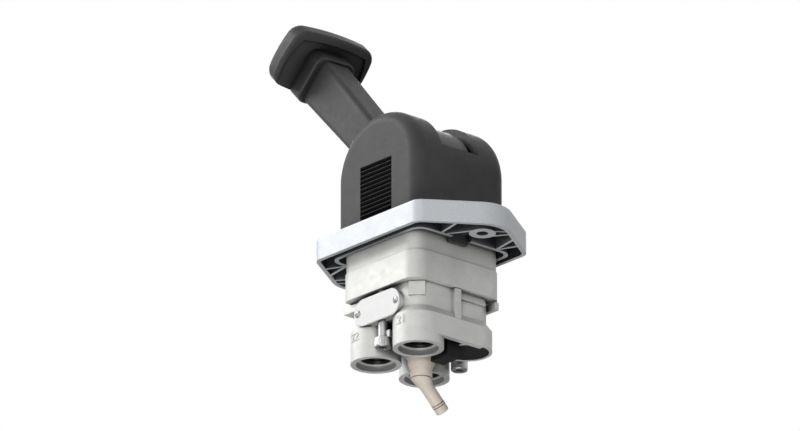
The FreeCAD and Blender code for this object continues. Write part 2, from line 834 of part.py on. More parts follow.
def build_upper_housing():
    body = new_body("upper_housing")
    deck = "flange_height - flange_wall"
    lower = new_sketch(body, "housing_skirt", "XY_Plane", "-housing_bottom")
    draw_round_box(lower, "housing_half_x + housing_step", "housing_half_y + housing_step",
                   "housing_round + housing_step")
    grow(body, lower, "housing_bottom - housing_step_place")
    upper = new_sketch(body, "housing_box", "XY_Plane", "-housing_step_place")
    draw_round_box(upper, "housing_half_x", "housing_half_y", "housing_round")
    grow(body, upper, f"{deck} + housing_step_place")

    guide = new_sketch(body, "plunger_guide", "XY_Plane", deck)
    draw_circle(guide, "guide_radius")
    grow(body, guide, f"guide_top - ({deck})")

    # Two uprights carry the lever axle, and the rim of each head is the track of the latch pin.
    cheek = new_sketch(body, "upright_outline", "XZ_Plane", "upright_inner")
    draw_polygon(cheek, [
        ("-upright_foot", f"{deck} - overrun"),
        ("upright_foot", f"{deck} - overrun"),
        ("upright_waist", "pivot_height"),
        ("-upright_waist", "pivot_height"),
    ])
    plate = grow(body, cheek, "upright_thickness")
    head = new_sketch(body, "upright_head", "XZ_Plane", "upright_inner")
    draw_circle(head, "upright_head_radius", "0", "pivot_height")
    disc = grow(body, head, "upright_thickness")
    mirror(body, [plate, disc], "upright_pair", "XZ_Plane")
    bearing = new_sketch(body, "bearing_holes", "XZ_Plane")
    draw_circle(bearing, "axle_radius + bush_wall", "0", "pivot_height")
    cut(body, bearing, "4 * (upright_inner + upright_thickness)", both_ways=True)
    notch = new_sketch(body, "latch_notch", "XZ_Plane")
    notch_place = "upright_head_radius + latch_pin_radius - latch_notch_depth"
    draw_circle(notch, "latch_pin_radius + running_gap",
                f"({notch_place}) * sin(lever_swing - rest_lean)",
                f"pivot_height + ({notch_place}) * cos(lever_swing - rest_lean)")
    cut(body, notch, "4 * (upright_inner + upright_thickness)", both_ways=True)

    notch_corner = new_sketch(body, "corner_notch", "XY_Plane", "-housing_bottom")
    outer_x = "housing_half_x + housing_step"
    outer_y = "housing_half_y + housing_step"
    draw_box(notch_corner, f"-({outer_x})", f"-({outer_x}) + housing_notch_width",
             f"-({outer_y})", f"-({outer_y}) + housing_round + housing_notch_width")
    cut(body, notch_corner, "housing_bottom - housing_notch_top", upward=True)

    joint = new_sketch(body, "joint_recess", "XY_Plane", "-housing_bottom")
    core = "port_spread + block_corner + running_gap"
    draw_round_box(joint, core, core, "block_corner + running_gap")
    cut(body, joint, "joint_depth", upward=True)
    bore = new_sketch(body, "spring_bore", "XY_Plane", "-housing_bottom")
    draw_circle(bore, "spring_bore_radius")
    cut(body, bore, f"housing_bottom + {deck} - spring_bore_roof", upward=True)
    passage = new_sketch(body, "plunger_bore", "XY_Plane", "guide_top")
    draw_circle(passage, "plunger_radius + sliding_gap")
    cut(body, passage, f"guide_top + overrun - ({deck}) + spring_bore_roof")

    ring = new_sketch(body, "plunger_seal_groove", "XZ_Plane")
    draw_box(ring, "plunger_radius", "plunger_radius + sliding_gap + 2 * stem_seal_section",
             "plunger_seal_height - stem_seal_section", "plunger_seal_height + stem_seal_section")
    groove(body, ring)

    screws = new_sketch(body, "body_screw_threads", "XY_Plane", "-housing_bottom")
    draw_circle(screws, "screw_radius", "0", "screw_place")
    draw_circle(screws, "screw_radius", "0", "-screw_place")
    cut(body, screws, "housing_bottom - screw_end + overrun", upward=True)
    tops = new_sketch(body, "flange_screw_threads", "XY_Plane", deck)
    for x in ("flange_screw_x", "-flange_screw_x"):
        for y in ("flange_screw_y", "-flange_screw_y"):
            draw_circle(tops, "flange_screw_radius", x, y)
    cut(body, tops, "flange_screw_length")
    return body


# Port block

def build_port_block():
    body = new_body("port_block")
    top = BLOCK_TOP
    core = new_sketch(body, "block_core", "XY_Plane", "-shoulder_top - shoulder_height")
    edge = "port_spread + block_corner"
    draw_round_box(core, edge, edge, "block_corner")
    grow(body, core, f"shoulder_top + shoulder_height + {top}")
    floor = new_sketch(body, "block_web", "XY_Plane", "-block_floor")
    draw_centred_box(floor, "port_spread", "port_spread")
    grow(body, floor, "block_floor - shoulder_top - shoulder_height / 2")

    # Each port boss starts as the round corner of the core and flares out at the shoulder.
    for name, sign_x, sign_y, bottom in (
            ("near_port", "", "-", "port_face"),
            ("left_port", "-", "-", "port_face"),
            ("far_port", "-", "", "port_face"),
            ("spare_boss", "", "", "spare_boss_bottom")):
        boss = new_sketch(body, name, "XY_Plane", f"-{bottom}")
        draw_circle(boss, "port_boss_radius", f"{sign_x}port_spread", f"{sign_y}port_spread")
        grow(body, boss, f"{bottom} - shoulder_top - shoulder_height")
        flare_low = new_sketch(body, name + "_flare_low", "XY_Plane", "-shoulder_top - shoulder_height")
        draw_circle(flare_low, "port_boss_radius", f"{sign_x}port_spread", f"{sign_y}port_spread")
        flare_high = new_sketch(body, name + "_flare_high", "XY_Plane", "-shoulder_top")
        draw_circle(flare_high, "block_corner", f"{sign_x}port_spread", f"{sign_y}port_spread")
        flare = body.newObject("PartDesign::AdditiveLoft", name + "_flare")
        flare.Profile = flare_low
        flare.Sections = [flare_high]
        flare.Ruled = True

    wall = new_sketch(body, "side_wall", "XZ_Plane")
    outer = "port_spread + port_boss_radius"
    draw_polygon(wall, [
        ("port_spread", "-shoulder_top"),
        ("port_spread + block_corner", "-shoulder_top"),
        (outer, "-shoulder_top - shoulder_height"),
        (outer, "-wall_bottom"),
        (f"{outer} - side_wall_thickness", "-wall_bottom"),
        (f"{outer} - side_wall_thickness", "-block_floor"),
        ("port_spread", "-block_floor"),
    ])
    grow(body, wall, "2 * port_spread", both_ways=True)

    rib = new_sketch(body, "side_rib", "XY_Plane", "-shoulder_top - shoulder_height")
    draw_box(rib, "port_spread + block_corner - overrun", "port_spread + block_corner + side_rib_proud",
             "-side_rib_low", "side_rib_high")
    grow(body, rib, "shoulder_top + shoulder_height - housing_bottom - running_gap")

    add_joint_ledge(body)
    exhaust = new_sketch(body, "exhaust_boss", "XY_Plane", "-exhaust_boss_bottom")
    draw_circle(exhaust, "exhaust_boss_radius")
    grow(body, exhaust, "exhaust_boss_bottom - block_floor + overrun")

    lug = new_sketch(body, "screw_lugs", "XY_Plane", "-screw_seat")
    clear = "screw_radius + screw_hole_gap"
    draw_box(lug, negative(clear), "lug_half_width", "-lug_reach", "lug_reach")
    grow(body, lug, "lug_thickness")
    pad = new_sketch(body, "plate_backing_outline", "XZ_Plane", "port_spread + block_corner - overrun")
    draw_stadium(pad, "plate_length / 2 - plate_overhang", "plate_height / 2 - plate_overhang",
                 "-plate_drop")
    grow(body, pad, "plate_backing + overrun")
    rivets = new_sketch(body, "rivet_holes", "XZ_Plane", f"{edge} + plate_backing")
    draw_circle(rivets, "rivet_radius", "rivet_pitch / 2", "-plate_drop")
    draw_circle(rivets, "rivet_radius", "-rivet_pitch / 2", "-plate_drop")
    cut(body, rivets, "rivet_length - plate_thickness")

    recesses = new_sketch(body, "port_recesses", "XY_Plane", "-port_face")
    threads = new_sketch(body, "port_threads", "XY_Plane", "-port_face")
    galleries = new_sketch(body, "port_galleries", "XY_Plane", "-port_face")
    for x, y in (("port_spread", "-port_spread"), ("-port_spread", "-port_spread"),
                 ("-port_spread", "port_spread")):
        draw_circle(recesses, "port_recess_radius", x, y)
        draw_circle(threads, "port_thread_radius", x, y)
        draw_circle(galleries, "port_gallery_radius", x, y)
    cut(body, recesses, "port_recess_depth", upward=True)
    thread_cut = cut(body, threads, "port_recess_depth + port_thread_depth", upward=True)
    ledge = value_of("-port_face + port_recess_depth")
    thread_radius = value_of("port_thread_radius")
    bevel_edges(body, thread_cut, "port_mouths", "port_chamfer",
                lambda edge: level_edge(edge, ledge) and near(edge.Curve.Radius, thread_radius)
                if hasattr(edge.Curve, "Radius") else False)
    cut(body, galleries, "port_face - shoulder_top + port_gallery_rise", upward=True)

    spare = new_sketch(body, "spare_recess", "XY_Plane", "-spare_boss_bottom")
    draw_circle(spare, "port_boss_radius - spare_boss_wall", "port_spread", "port_spread")
    cut(body, spare, "silencer_thickness", upward=True)
    mouth = new_sketch(body, "spare_mouth", "XY_Plane", "-exhaust_boss_bottom - overrun")
    draw_box(mouth, "silencer_near - seat_gap", f"{outer} - side_wall_thickness",
             "-silencer_low_y - seat_gap", "silencer_high_y + seat_gap")
    cut(body, mouth, "silencer_thickness + exhaust_boss_bottom + overrun - spare_boss_bottom",
        upward=True)

    holes = new_sketch(body, "body_screw_holes", "XY_Plane", "-screw_seat")
    draw_circle(holes, "screw_radius + screw_hole_gap", "0", "screw_place")
    draw_circle(holes, "screw_radius + screw_hole_gap", "0", "-screw_place")
    cut(body, holes, f"screw_seat + {top} + overrun", upward=True)
    slots = new_sketch(body, "lug_slots", "XY_Plane", "-screw_seat")
    half = "screw_radius + screw_hole_gap"
    draw_box(slots, negative(half), half, "screw_place", "screw_place + lug_reach")
    draw_box(slots, negative(half), half, "-screw_place - lug_reach", "-screw_place")
    cut(body, slots, "lug_thickness", upward=True)

    # The stepped bore on the axis holds the piston stem, the valve seat and the inlet valve.
    bore = new_sketch(body, "axis_bore", "XZ_Plane")
    draw_polygon(bore, axis_bore_profile(top))
    groove(body, bore)
    return body


def add_joint_ledge(body):
    """The wedge ledge, the corner pad and two corner lugs that stand under the joint."""
    face = "port_spread + block_corner"
    top = "-housing_bottom - running_gap"
    ledge = new_sketch(body, "joint_ledge", "XZ_Plane", "-side_rib_high")
    draw_polygon(ledge, [
        (f"{face} - overrun", top),
        (face, top),
        (f"{face} + ledge_proud", f"{top} - ledge_height + ledge_lip"),
        (f"{face} + ledge_proud", f"{top} - ledge_height"),
        (f"{face} - overrun", f"{top} - ledge_height"),
    ])
    grow(body, ledge, "ledge_end - side_rib_high", downward=True)

    pad = new_sketch(body, "corner_pad", "XY_Plane", top)
    outer = "hypot(port_spread; port_spread) + block_corner + corner_pad_proud"
    half = "corner_pad_width / 2"
    inner = "hypot(port_spread; port_spread)"
    draw_polygon(pad, [
        diagonal_place(inner, negative(half)),
        diagonal_place(inner, half),
        diagonal_place(outer, half),
        diagonal_place(outer, negative(half)),
    ])
    grow(body, pad, "corner_pad_height", downward=True)

    lugs = new_sketch(body, "corner_lugs", "XY_Plane", f"{top} - corner_lug_gap")
    draw_box(lugs, "port_spread", "corner_lug_x", "corner_lug_y - corner_lug_gap * 2", "corner_lug_y")
    draw_box(lugs, "-corner_lug_x", "-port_spread", "-corner_lug_y", "-port_spread")
    grow(body, lugs, "corner_lug_height", downward=True)


def diagonal_place(outward, across):
    """A place by its distance along the diagonal to the near corner and its distance across it."""
    return f"(({outward}) + ({across})) * cos(45)", f"(({across}) - ({outward})) * cos(45)"


def axis_bore_profile(top):
    """Half section of the bore on the valve axis, from the joint face down to the exhaust."""
    guide = f"{top} - stem_guide_depth"
    ring = f"{top} - stem_seal_depth"
    ring_floor = "stem_radius + sliding_gap + 2 * stem_seal_section"
    chamber = f"{guide} - delivery_chamber_depth"
    seat = f"{chamber} - seat_height"
    inlet = f"{seat} - inlet_chamber_depth"
    socket = "-exhaust_boss_bottom + elbow_socket_depth"
    return [
        ("0", top),
        ("stem_radius + sliding_gap", top),
        ("stem_radius + sliding_gap", f"{ring} + stem_seal_section"),
        (ring_floor, f"{ring} + stem_seal_section"),
        (ring_floor, f"{ring} - stem_seal_section"),
        ("stem_radius + sliding_gap", f"{ring} - stem_seal_section"),
        ("stem_radius + sliding_gap", guide),
        ("delivery_chamber_radius", guide),
        ("delivery_chamber_radius", chamber),
        ("seat_radius", chamber),
        ("seat_radius", inlet),
        ("elbow_bore", inlet),
        ("elbow_bore", socket),
        ("elbow_socket_radius", socket),
        ("elbow_socket_radius", "-exhaust_boss_bottom - overrun"),
        ("0", "-exhaust_boss_bottom - overrun"),
    ]


# Joint gasket and fasteners

def build_gasket():
    body = new_body("body_gasket")
    outline = new_sketch(body, "gasket_outline", "XY_Plane", f"{BLOCK_TOP}")
    edge = "port_spread + block_corner"
    draw_round_box(outline, edge, edge, "block_corner")
    draw_circle(outline, "spring_bore_radius")
    grow(body, outline, "gasket_thickness")
    notches = new_sketch(body, "gasket_notches", "XY_Plane", f"{BLOCK_TOP}")
    draw_circle(notches, "screw_radius + screw_hole_gap", "0", "screw_place")
    draw_circle(notches, "screw_radius + screw_hole_gap", "0", "-screw_place")
    cut(body, notches, "gasket_thickness", upward=True)
    return body


def build_body_screws():
    """Two long cap screws, seated on the lugs and threaded into the upper housing."""
    body = new_body("body_screws")
    for name, y in (("near", "-screw_place"), ("far", "screw_place")):
        head = new_sketch(body, name + "_screw_head", "XY_Plane", "-screw_seat - screw_head_height")
        draw_circle(head, "screw_head_radius", "0", y)
        grow(body, head, "screw_head_height")
        shank = new_sketch(body, name + "_screw_shank", "XY_Plane", "-screw_seat")
        draw_circle(shank, "screw_radius", "0", y)
        grow(body, shank, "screw_seat - screw_end")
        socket = new_sketch(body, name + "_screw_socket", "XY_Plane", "-screw_seat - screw_head_height")
        draw_circle(socket, "screw_socket_radius", "0", y)
        cut(body, socket, "screw_socket_depth", upward=True)
    return body


def revolved(label, corners, axis="V_Axis", plane="XZ_Plane"):
    """A turned piece from its half section."""
    body = new_body(label)
    section = new_sketch(body, label + "_section", plane)
    draw_polygon(section, corners)
    turn(body, section, axis)
    return body


SEAL_BEVEL_SHARE = 0.45


def ring_of(label, middle_radius, section_radius, height):
    """A sealing ring about the valve axis, with bevelled corners."""
    body = new_body(label)
    section = new_sketch(body, label + "_section", "XZ_Plane")
    bevel = f"({section_radius}) * {SEAL_BEVEL_SHARE}"
    half = f"({section_radius})"
    draw_polygon(section, [
        (f"{middle_radius} - {half} + {bevel}", f"{height} - {half}"),
        (f"{middle_radius} + {half} - {bevel}", f"{height} - {half}"),
        (f"{middle_radius} + {half}", f"{height} - {half} + {bevel}"),
        (f"{middle_radius} + {half}", f"{height} + {half} - {bevel}"),
        (f"{middle_radius} + {half} - {bevel}", f"{height} + {half}"),
        (f"{middle_radius} - {half} + {bevel}", f"{height} + {half}"),
        (f"{middle_radius} - {half}", f"{height} + {half} - {bevel}"),
        (f"{middle_radius} - {half}", f"{height} - {half} + {bevel}"),
    ])
    turn(body, section)
    return body


def cylinder(label, radius, height, x, y, z):
    made = doc.addObject("Part::Cylinder", label)
    made.setExpression("Radius", formula(radius))
    made.setExpression("Height", formula(height))
    for axis, text in (("x", x), ("y", y), ("z", z)):
        made.setExpression(f"Placement.Base.{axis}", formula(text))
    return made


def join_solids(label, solids):
    """Like pieces that stay separate solids in one compound."""
    made = doc.addObject("Part::Compound", label)
    made.Label = label
    made.Links = solids
    return made


def build_flange_screws():
    screws = []
    for x in ("flange_screw_x", "-flange_screw_x"):
        for y in ("flange_screw_y", "-flange_screw_y"):
            head = cylinder("deck_screw_head", "flange_screw_head", "flange_screw_head_height",
                            x, y, "flange_height")
            shank = cylinder("deck_screw_shank", "flange_screw_radius", "flange_screw_length",
                             x, y, "flange_height - flange_screw_length")
            screw = doc.addObject("Part::Fuse", "deck_screw")
            screw.Base = head
            screw.Tool = shank
            screws.append(screw)
    return join_solids("flange_screws", screws)


# Label plate

def build_label_plate():
    body = new_body("label_plate")
    back = "port_spread + block_corner + plate_backing"
    outline = new_sketch(body, "plate_outline", "XZ_Plane", back)
    draw_stadium(outline, "plate_length / 2", "plate_height / 2", "-plate_drop")
    plate = grow(body, outline, "plate_thickness")
    holes = new_sketch(body, "plate_holes", "XZ_Plane", f"{back} + plate_thickness")
    draw_circle(holes, "rivet_radius", "rivet_pitch / 2", "-plate_drop")
    draw_circle(holes, "rivet_radius", "-rivet_pitch / 2", "-plate_drop")
    cut(body, holes, "plate_thickness * 2")
    return body


def build_rivets():
    body = new_body("plate_rivets")
    face = "port_spread + block_corner + plate_backing + plate_thickness"
    for name, radius, depth, outward in (
            ("rivet_shanks", "rivet_radius", "rivet_length", False),
            ("rivet_heads", "rivet_head_radius", "rivet_head_height", True)):
        sketch = new_sketch(body, name, "XZ_Plane", face)
        draw_circle(sketch, radius, "rivet_pitch / 2", "-plate_drop")
        draw_circle(sketch, radius, "-rivet_pitch / 2", "-plate_drop")
        grow(body, sketch, depth, downward=not outward)
    return body


# Exhaust

def build_elbow():
    body = new_body("exhaust_elbow")
    base = new_sketch(body, "elbow_base", "XZ_Plane")
    mouth = "-exhaust_boss_bottom - seat_gap"
    draw_polygon(base, [
        ("0", "-exhaust_boss_bottom + elbow_socket_depth - seat_gap"),
        ("elbow_socket_radius - sliding_gap", "-exhaust_boss_bottom + elbow_socket_depth - seat_gap"),
        ("elbow_socket_radius - sliding_gap", mouth),
        ("elbow_bulge_radius - elbow_bulge_bevel", mouth),
        ("elbow_bulge_radius", "-elbow_bulge_top"),
        ("elbow_bulge_radius", "-elbow_bulge_low"),
        ("elbow_neck_radius", "-elbow_neck_top"),
        ("elbow_neck_radius", "-elbow_ring_drop"),
        ("0", "-elbow_ring_drop"),
    ])
    turn(body, base)

    # The bend runs from a level ring under the neck to the round section of the slanted arm.
    ring = new_sketch(body, "elbow_ring", "XY_Plane", "-elbow_ring_drop")
    draw_circle(ring, "elbow_knee_radius")
    throat = new_sketch(body, "elbow_throat_section", "XY_Plane")
    throat.AttachmentOffset = FreeCAD.Placement(
        FreeCAD.Vector(0, 0, 0), FreeCAD.Rotation(FreeCAD.Vector(1, 0, 0), value_of("elbow_angle")))
    throat.setExpression("AttachmentOffset.Base.y", formula("elbow_throat * sin(elbow_angle)"))
    throat.setExpression("AttachmentOffset.Base.z",
                         formula("-elbow_bend_drop - elbow_throat * cos(elbow_angle)"))
    draw_circle(throat, "elbow_tube_radius")
    bend = body.newObject("PartDesign::AdditiveLoft", "elbow_bend")
    bend.Profile = ring
    bend.Sections = [throat]
    bend.Ruled = True

    arm = tilted_sketch(body, "elbow_arm")
    barb = "elbow_tube_length - elbow_barb_length"
    draw_polygon(arm, [
        ("0", "elbow_throat"),
        ("elbow_tube_radius", "elbow_throat"),
        ("elbow_tube_radius", f"{barb} - elbow_barb_ramp"),
        ("elbow_barb_radius", barb),
        ("elbow_tube_radius", "elbow_tube_length - elbow_end_round"),
        ("elbow_tube_radius - elbow_end_round", "elbow_tube_length"),
        ("0", "elbow_tube_length"),
    ])
    turn(body, arm)
    drop = new_sketch(body, "elbow_drop_bore", "XZ_Plane")
    draw_box(drop, "0", "elbow_bore", "-elbow_bend_drop", "-exhaust_boss_bottom + elbow_socket_depth")
    groove(body, drop)
    outlet = tilted_sketch(body, "elbow_outlet_bore")
    draw_box(outlet, "0", "elbow_bore", "0", "elbow_tube_length + overrun")
    groove(body, outlet)
    return body


def tilted_sketch(body, name):
    """A sketch in the YZ plane whose vertical axis runs out along the elbow's arm."""
    made = new_sketch(body, name, "YZ_Plane")
    made.AttachmentOffset = FreeCAD.Placement(
        FreeCAD.Vector(0, -value_of("elbow_bend_drop"), 0),
        FreeCAD.Rotation(FreeCAD.Vector(0, 0, 1), -180 + value_of("elbow_angle")))
    made.setExpression("AttachmentOffset.Base.y", formula("-elbow_bend_drop"))
    return made


def build_silencer():
    """The moulded damper that fills the spare boss and bridges to the exhaust."""
    body = new_body("silencer_insert")
    ledge = "-spare_boss_bottom + silencer_thickness - seat_gap"
    disc = new_sketch(body, "silencer_disc", "XY_Plane", "-spare_boss_bottom + silencer_inset")
    draw_circle(disc, "port_boss_radius - spare_boss_wall - seat_gap", "port_spread", "port_spread")
    grow(body, disc, f"{ledge} + spare_boss_bottom - silencer_inset")
    bridge = new_sketch(body, "silencer_bridge", "XY_Plane", "-silencer_drop")
    draw_box(bridge, "silencer_near", "silencer_far", "-silencer_low_y", "silencer_high_y")
    grow(body, bridge, f"silencer_drop + {ledge}")
    return body


# Lever bearing

def build_bushes():
    bushes = []
    for name, y in (("near_bush", "-upright_inner - upright_thickness"), ("far_bush", "upright_inner")):
        outer = cylinder(name + "_outer", "axle_radius + bush_wall", "upright_thickness", "0", y,
                         "pivot_height")
        inner = cylinder(name + "_bore", "axle_radius + sliding_gap", "upright_thickness", "0", y,
                         "pivot_height")
        bush = doc.addObject("Part::Cut", name)
        bush.Base = outer
        bush.Tool = inner
        for part in (outer, inner):
            part.Placement.Rotation = FreeCAD.Rotation(FreeCAD.Vector(1, 0, 0), -90)
        bushes.append(bush)
    return join_solids("axle_bushes", bushes)


def build_axle():
    body = new_body("axle")
    end = "upright_inner + upright_thickness + axle_end_gap + clip_thickness + axle_tip"
    rod = new_sketch(body, "axle_section", "XZ_Plane")
    draw_circle(rod, "axle_radius")
    grow(body, rod, f"2 * ({end})", both_ways=True)
    for name, y in (("near_groove", "-1"), ("far_groove", "1")):
        start = "upright_inner + upright_thickness + axle_end_gap"
        sketch = new_sketch(body, name, "XZ_Plane", f"{start}" if y == "-1" else f"-({start})")
        draw_circle(sketch, "axle_radius + overrun")
        draw_circle(sketch, "clip_groove_radius")
        cut(body, sketch, "clip_thickness", upward=y == "-1")
    stand_on_lever(body)
    return body


def build_clips():
    body = new_body("axle_clips")
    start = "upright_inner + upright_thickness + axle_end_gap"
    for name, sign in (("near_clip", 1), ("far_clip", -1)):
        sketch = new_sketch(body, name, "XZ_Plane", start if sign > 0 else f"-({start})")
        draw_circle(sketch, "clip_radius")
        draw_circle(sketch, "clip_groove_radius")
        grow(body, sketch, "clip_thickness", downward=sign < 0)
    stand_on_lever(body)
    return body


CAM_THROW = "plunger_travel / 2 / sin(lever_swing / 2)"
CAM_TURN = "(rest_lean - 90 - lever_swing / 2)"


def build_cam():
    """An eccentric disc that lets the plunger rise as the lever swings over."""
    body = new_body("cam")
    disc = new_sketch(body, "cam_disc", "XZ_Plane")
    draw_circle(disc, "cam_radius", f"{CAM_THROW} * sin{CAM_TURN}", f"{CAM_THROW} * cos{CAM_TURN}")
    draw_circle(disc, "axle_radius")
    grow(body, disc, "cam_width", both_ways=True)
    stand_on_lever(body)
    return body


def build_drum():
    """The shield that turns with the lever and keeps the slot of the cover closed."""
    body = new_body("lever_drum")
    start = "-(slot_reach + lever_swing - rest_lean + drum_overlap)"
    end = "slot_reach + rest_lean + drum_overlap"
    inner = "drum_half_width - drum_cheek"
    shell = new_sketch(body, "drum_section", "YZ_Plane")
    draw_polygon(shell, [
        ("-drum_half_width", "drum_hub_radius - overrun"),
        (f"-({inner})", "drum_hub_radius - overrun"),
        (f"-({inner})", "drum_radius - drum_wall"),
        (inner, "drum_radius - drum_wall"),
        (inner, "drum_hub_radius - overrun"),
        ("drum_half_width", "drum_hub_radius - overrun"),
        ("drum_half_width", "drum_radius"),
        ("-drum_half_width", "drum_radius"),
    ])
    middle = f"(({start}) + ({end})) / 2"
    shell.AttachmentOffset = FreeCAD.Placement(
        FreeCAD.Vector(0, 0, 0), FreeCAD.Rotation(FreeCAD.Vector(1, 0, 0), value_of(middle)))
    turn(body, shell, "H_Axis", f"({end}) - ({start})", both_ways=True)
    for name, low, high in (("near_hub", "-drum_half_width", f"-({inner})"),
                            ("far_hub", inner, "drum_half_width")):
        hub = new_sketch(body, name, "YZ_Plane")
        draw_box(hub, low, high, "axle_radius", "drum_hub_radius")
        turn(body, hub, "H_Axis")
    passage = new_sketch(body, "core_passage", "XY_Plane", "drum_hub_radius")
    draw_centred_box(passage, "fork_half_width + seat_gap", "fork_cheek + fork_gap + seat_gap")
    cut(body, passage, "drum_radius", upward=True)
    slot = new_sketch(body, "latch_pin_slots", "XZ_Plane")
    draw_latch_slot(slot)
    cut(body, slot, "4 * drum_half_width", both_ways=True)
    stand_on_lever(body)
    return body


def draw_latch_slot(sketch):
    half = "latch_pin_radius + running_gap"
    draw_box(sketch, negative(half), half, f"latch_pin_place - ({half})",
             f"latch_pin_place + handle_lift + {half}")


# Lever core and latch

def build_lever_core():
    """A steel bar with a fork at its foot that straddles the cam."""
    body = new_body("lever_core")
    outer = "2 * (fork_gap + fork_cheek)"
    hub = new_sketch(body, "fork_hub", "XZ_Plane")
    draw_circle(hub, "fork_hub_radius")
    grow(body, hub, outer, both_ways=True)
    fork = new_sketch(body, "fork_outline", "XZ_Plane")
    draw_box(fork, "-fork_half_width", "fork_half_width", "0", "fork_top")
    grow(body, fork, outer, both_ways=True)
    gap = new_sketch(body, "fork_gap_outline", "XZ_Plane")
    draw_box(gap, "-2 * fork_hub_radius", "2 * fork_hub_radius", "-2 * fork_hub_radius", "fork_gap_top")
    cut(body, gap, "2 * fork_gap", both_ways=True)
    bar = new_sketch(body, "core_bar", "XY_Plane", "fork_top")
    draw_centred_box(bar, "core_half_width", "core_half_thickness")
    grow(body, bar, "core_top - fork_top")
    axle = new_sketch(body, "core_axle_hole", "XZ_Plane")
    draw_circle(axle, "axle_radius")
    cut(body, axle, outer, both_ways=True)
    slot = new_sketch(body, "core_pin_slots", "XZ_Plane")
    draw_latch_slot(slot)
    cut(body, slot, outer, both_ways=True)
    bore = new_sketch(body, "rod_bore", "XY_Plane", "fork_gap_top - overrun")
    draw_circle(bore, "latch_rod_radius + sliding_gap")
    cut(body, bore, "core_top", upward=True)
    wide = new_sketch(body, "latch_spring_bore", "XY_Plane", "fork_gap_top - overrun")
    draw_circle(wide, "latch_collar_radius + guide_relief")
    cut(body, wide, "latch_collar_top + latch_spring_length - fork_gap_top + overrun", upward=True)
    stand_on_lever(body)
    return body


def build_latch_rod():
    body = new_body("latch_rod")
    section = new_sketch(body, "latch_rod_section", "XZ_Plane")
    top = "core_top + running_gap + latch_rod_hold"
    draw_polygon(section, [
        ("0", "latch_collar_foot"),
        ("latch_collar_radius", "latch_collar_foot"),
        ("latch_collar_radius", "latch_collar_top"),
        ("latch_rod_radius", "latch_collar_top"),
        ("latch_rod_radius", top),
        ("0", top),
    ])
    turn(body, section)
    eye = new_sketch(body, "latch_pin_eye", "XZ_Plane")
    draw_circle(eye, "latch_pin_radius", "0", "latch_pin_place")
    cut(body, eye, "4 * latch_collar_radius", both_ways=True)
    stand_on_lever(body)
    return body


def build_latch_pin():
    """The cross pin rides just over the round heads of the uprights and drops into their notches."""
    body = new_body("latch_pin")
    pin = new_sketch(body, "latch_pin_section", "XZ_Plane")
    draw_circle(pin, "latch_pin_radius", "0", "latch_pin_place")
    grow(body, pin, "2 * (upright_inner + upright_thickness - axle_end_gap)", both_ways=True)
    stand_on_lever(body)
    return body


# Handle

def build_handle():
    body = new_body("handle")
    stem = new_sketch(body, "handle_stem", "XZ_Plane")
    overlap = "handle_neck + grip_depth / 2"
    draw_polygon(stem, [
        ("-handle_foot_low", "handle_foot"),
        ("handle_foot_high", "handle_foot"),
        ("handle_neck_high", "handle_neck"),
        ("handle_neck_high", overlap),
        ("-handle_neck_low", overlap),
        ("-handle_neck_low", "handle_neck"),
    ])
    stem_pad = grow(body, stem, "handle_thickness", both_ways=True)
    foot = value_of("handle_foot")
    neck = value_of("handle_neck")
    half = value_of("handle_thickness") / 2
    round_edges(body, stem_pad, "stem_edges", "handle_edge_round",
                lambda edge: edge.BoundBox.YLength < TINY and edge.BoundBox.ZLength > MARGIN
                and near(abs(edge.BoundBox.YMin), half))

    grip = new_sketch(body, "grip_outline", "XY_Plane", "handle_neck")
    draw_bulged_box(grip, "grip_width / 2", "grip_length / 2", "grip_bulge", "grip_offset")
    grip_pad = grow(body, grip, "grip_depth")
    corners = round_edges(body, grip_pad, "grip_corners", "grip_corner_round",
                          lambda edge: upright_edge(edge) and abs(edge.BoundBox.YMin) > half + MARGIN
                          and edge.BoundBox.ZMin > neck - MARGIN)
    top = value_of("handle_neck + grip_depth")
    crown = round_edges(body, corners, "grip_crown", "grip_top_round",
                        lambda edge: level_edge(edge, top))
    round_edges(body, crown, "grip_underside", "grip_under_round",
                lambda edge: level_edge(edge, neck) and outside_stem(edge, half))

    recess = new_sketch(body, "grip_recess_outline", "XY_Plane", "handle_neck")
    draw_bulged_box(recess, "grip_width / 2 - grip_rim", "grip_length / 2 - grip_rim", "grip_bulge",
                    "grip_offset")
    cut(body, recess, "grip_recess", upward=True)
    add_grip_collar(body)

    cavity = new_sketch(body, "core_cavity", "XY_Plane", "handle_foot")
    draw_centred_box(cavity, "core_half_width + core_gap", "core_half_thickness + core_gap")
    cut(body, cavity, "core_top + running_gap - handle_foot", upward=True)
    hold = new_sketch(body, "rod_hold", "XY_Plane", "core_top")
    draw_circle(hold, "latch_rod_radius")
    cut(body, hold, "running_gap + latch_rod_hold", upward=True)
    stand_on_lever(body)
    return body


def add_grip_collar(body):
    """The round-cornered sleeve that stands under the grip, about the stem."""
    foot = "handle_neck + grip_recess - grip_collar_height"
    collar = new_sketch(body, "grip_collar", "XY_Plane", foot)
    half_x = "(handle_neck_low + handle_neck_high) / 2 + grip_collar_edge"
    draw_round_box(collar, half_x, "handle_thickness / 2 + grip_collar_side", "grip_collar_corner",
                   "(handle_neck_high - handle_neck_low) / 2")
    pad = grow(body, collar, "grip_collar_height")
    low = value_of(foot)
    side = value_of("handle_thickness") / 2
    round_edges(body, pad, "collar_rim", "grip_collar_round",
                lambda edge: level_edge(edge, low) and outside_collar_core(edge, side))


def outside_collar_core(edge, side):
    """Whether an edge belongs to the collar's outline and not to the stem that passes through it."""
    box = edge.BoundBox
    half = value_of("grip_collar_side") / 2
    edge_gap = value_of("grip_collar_edge") / 2
    beyond_sides = max(abs(box.YMin), abs(box.YMax)) > side + half
    beyond_high = box.XMin > value_of("handle_neck_high") + edge_gap
    beyond_low = box.XMax < -value_of("handle_neck_low") - edge_gap
    return beyond_sides or beyond_high or beyond_low


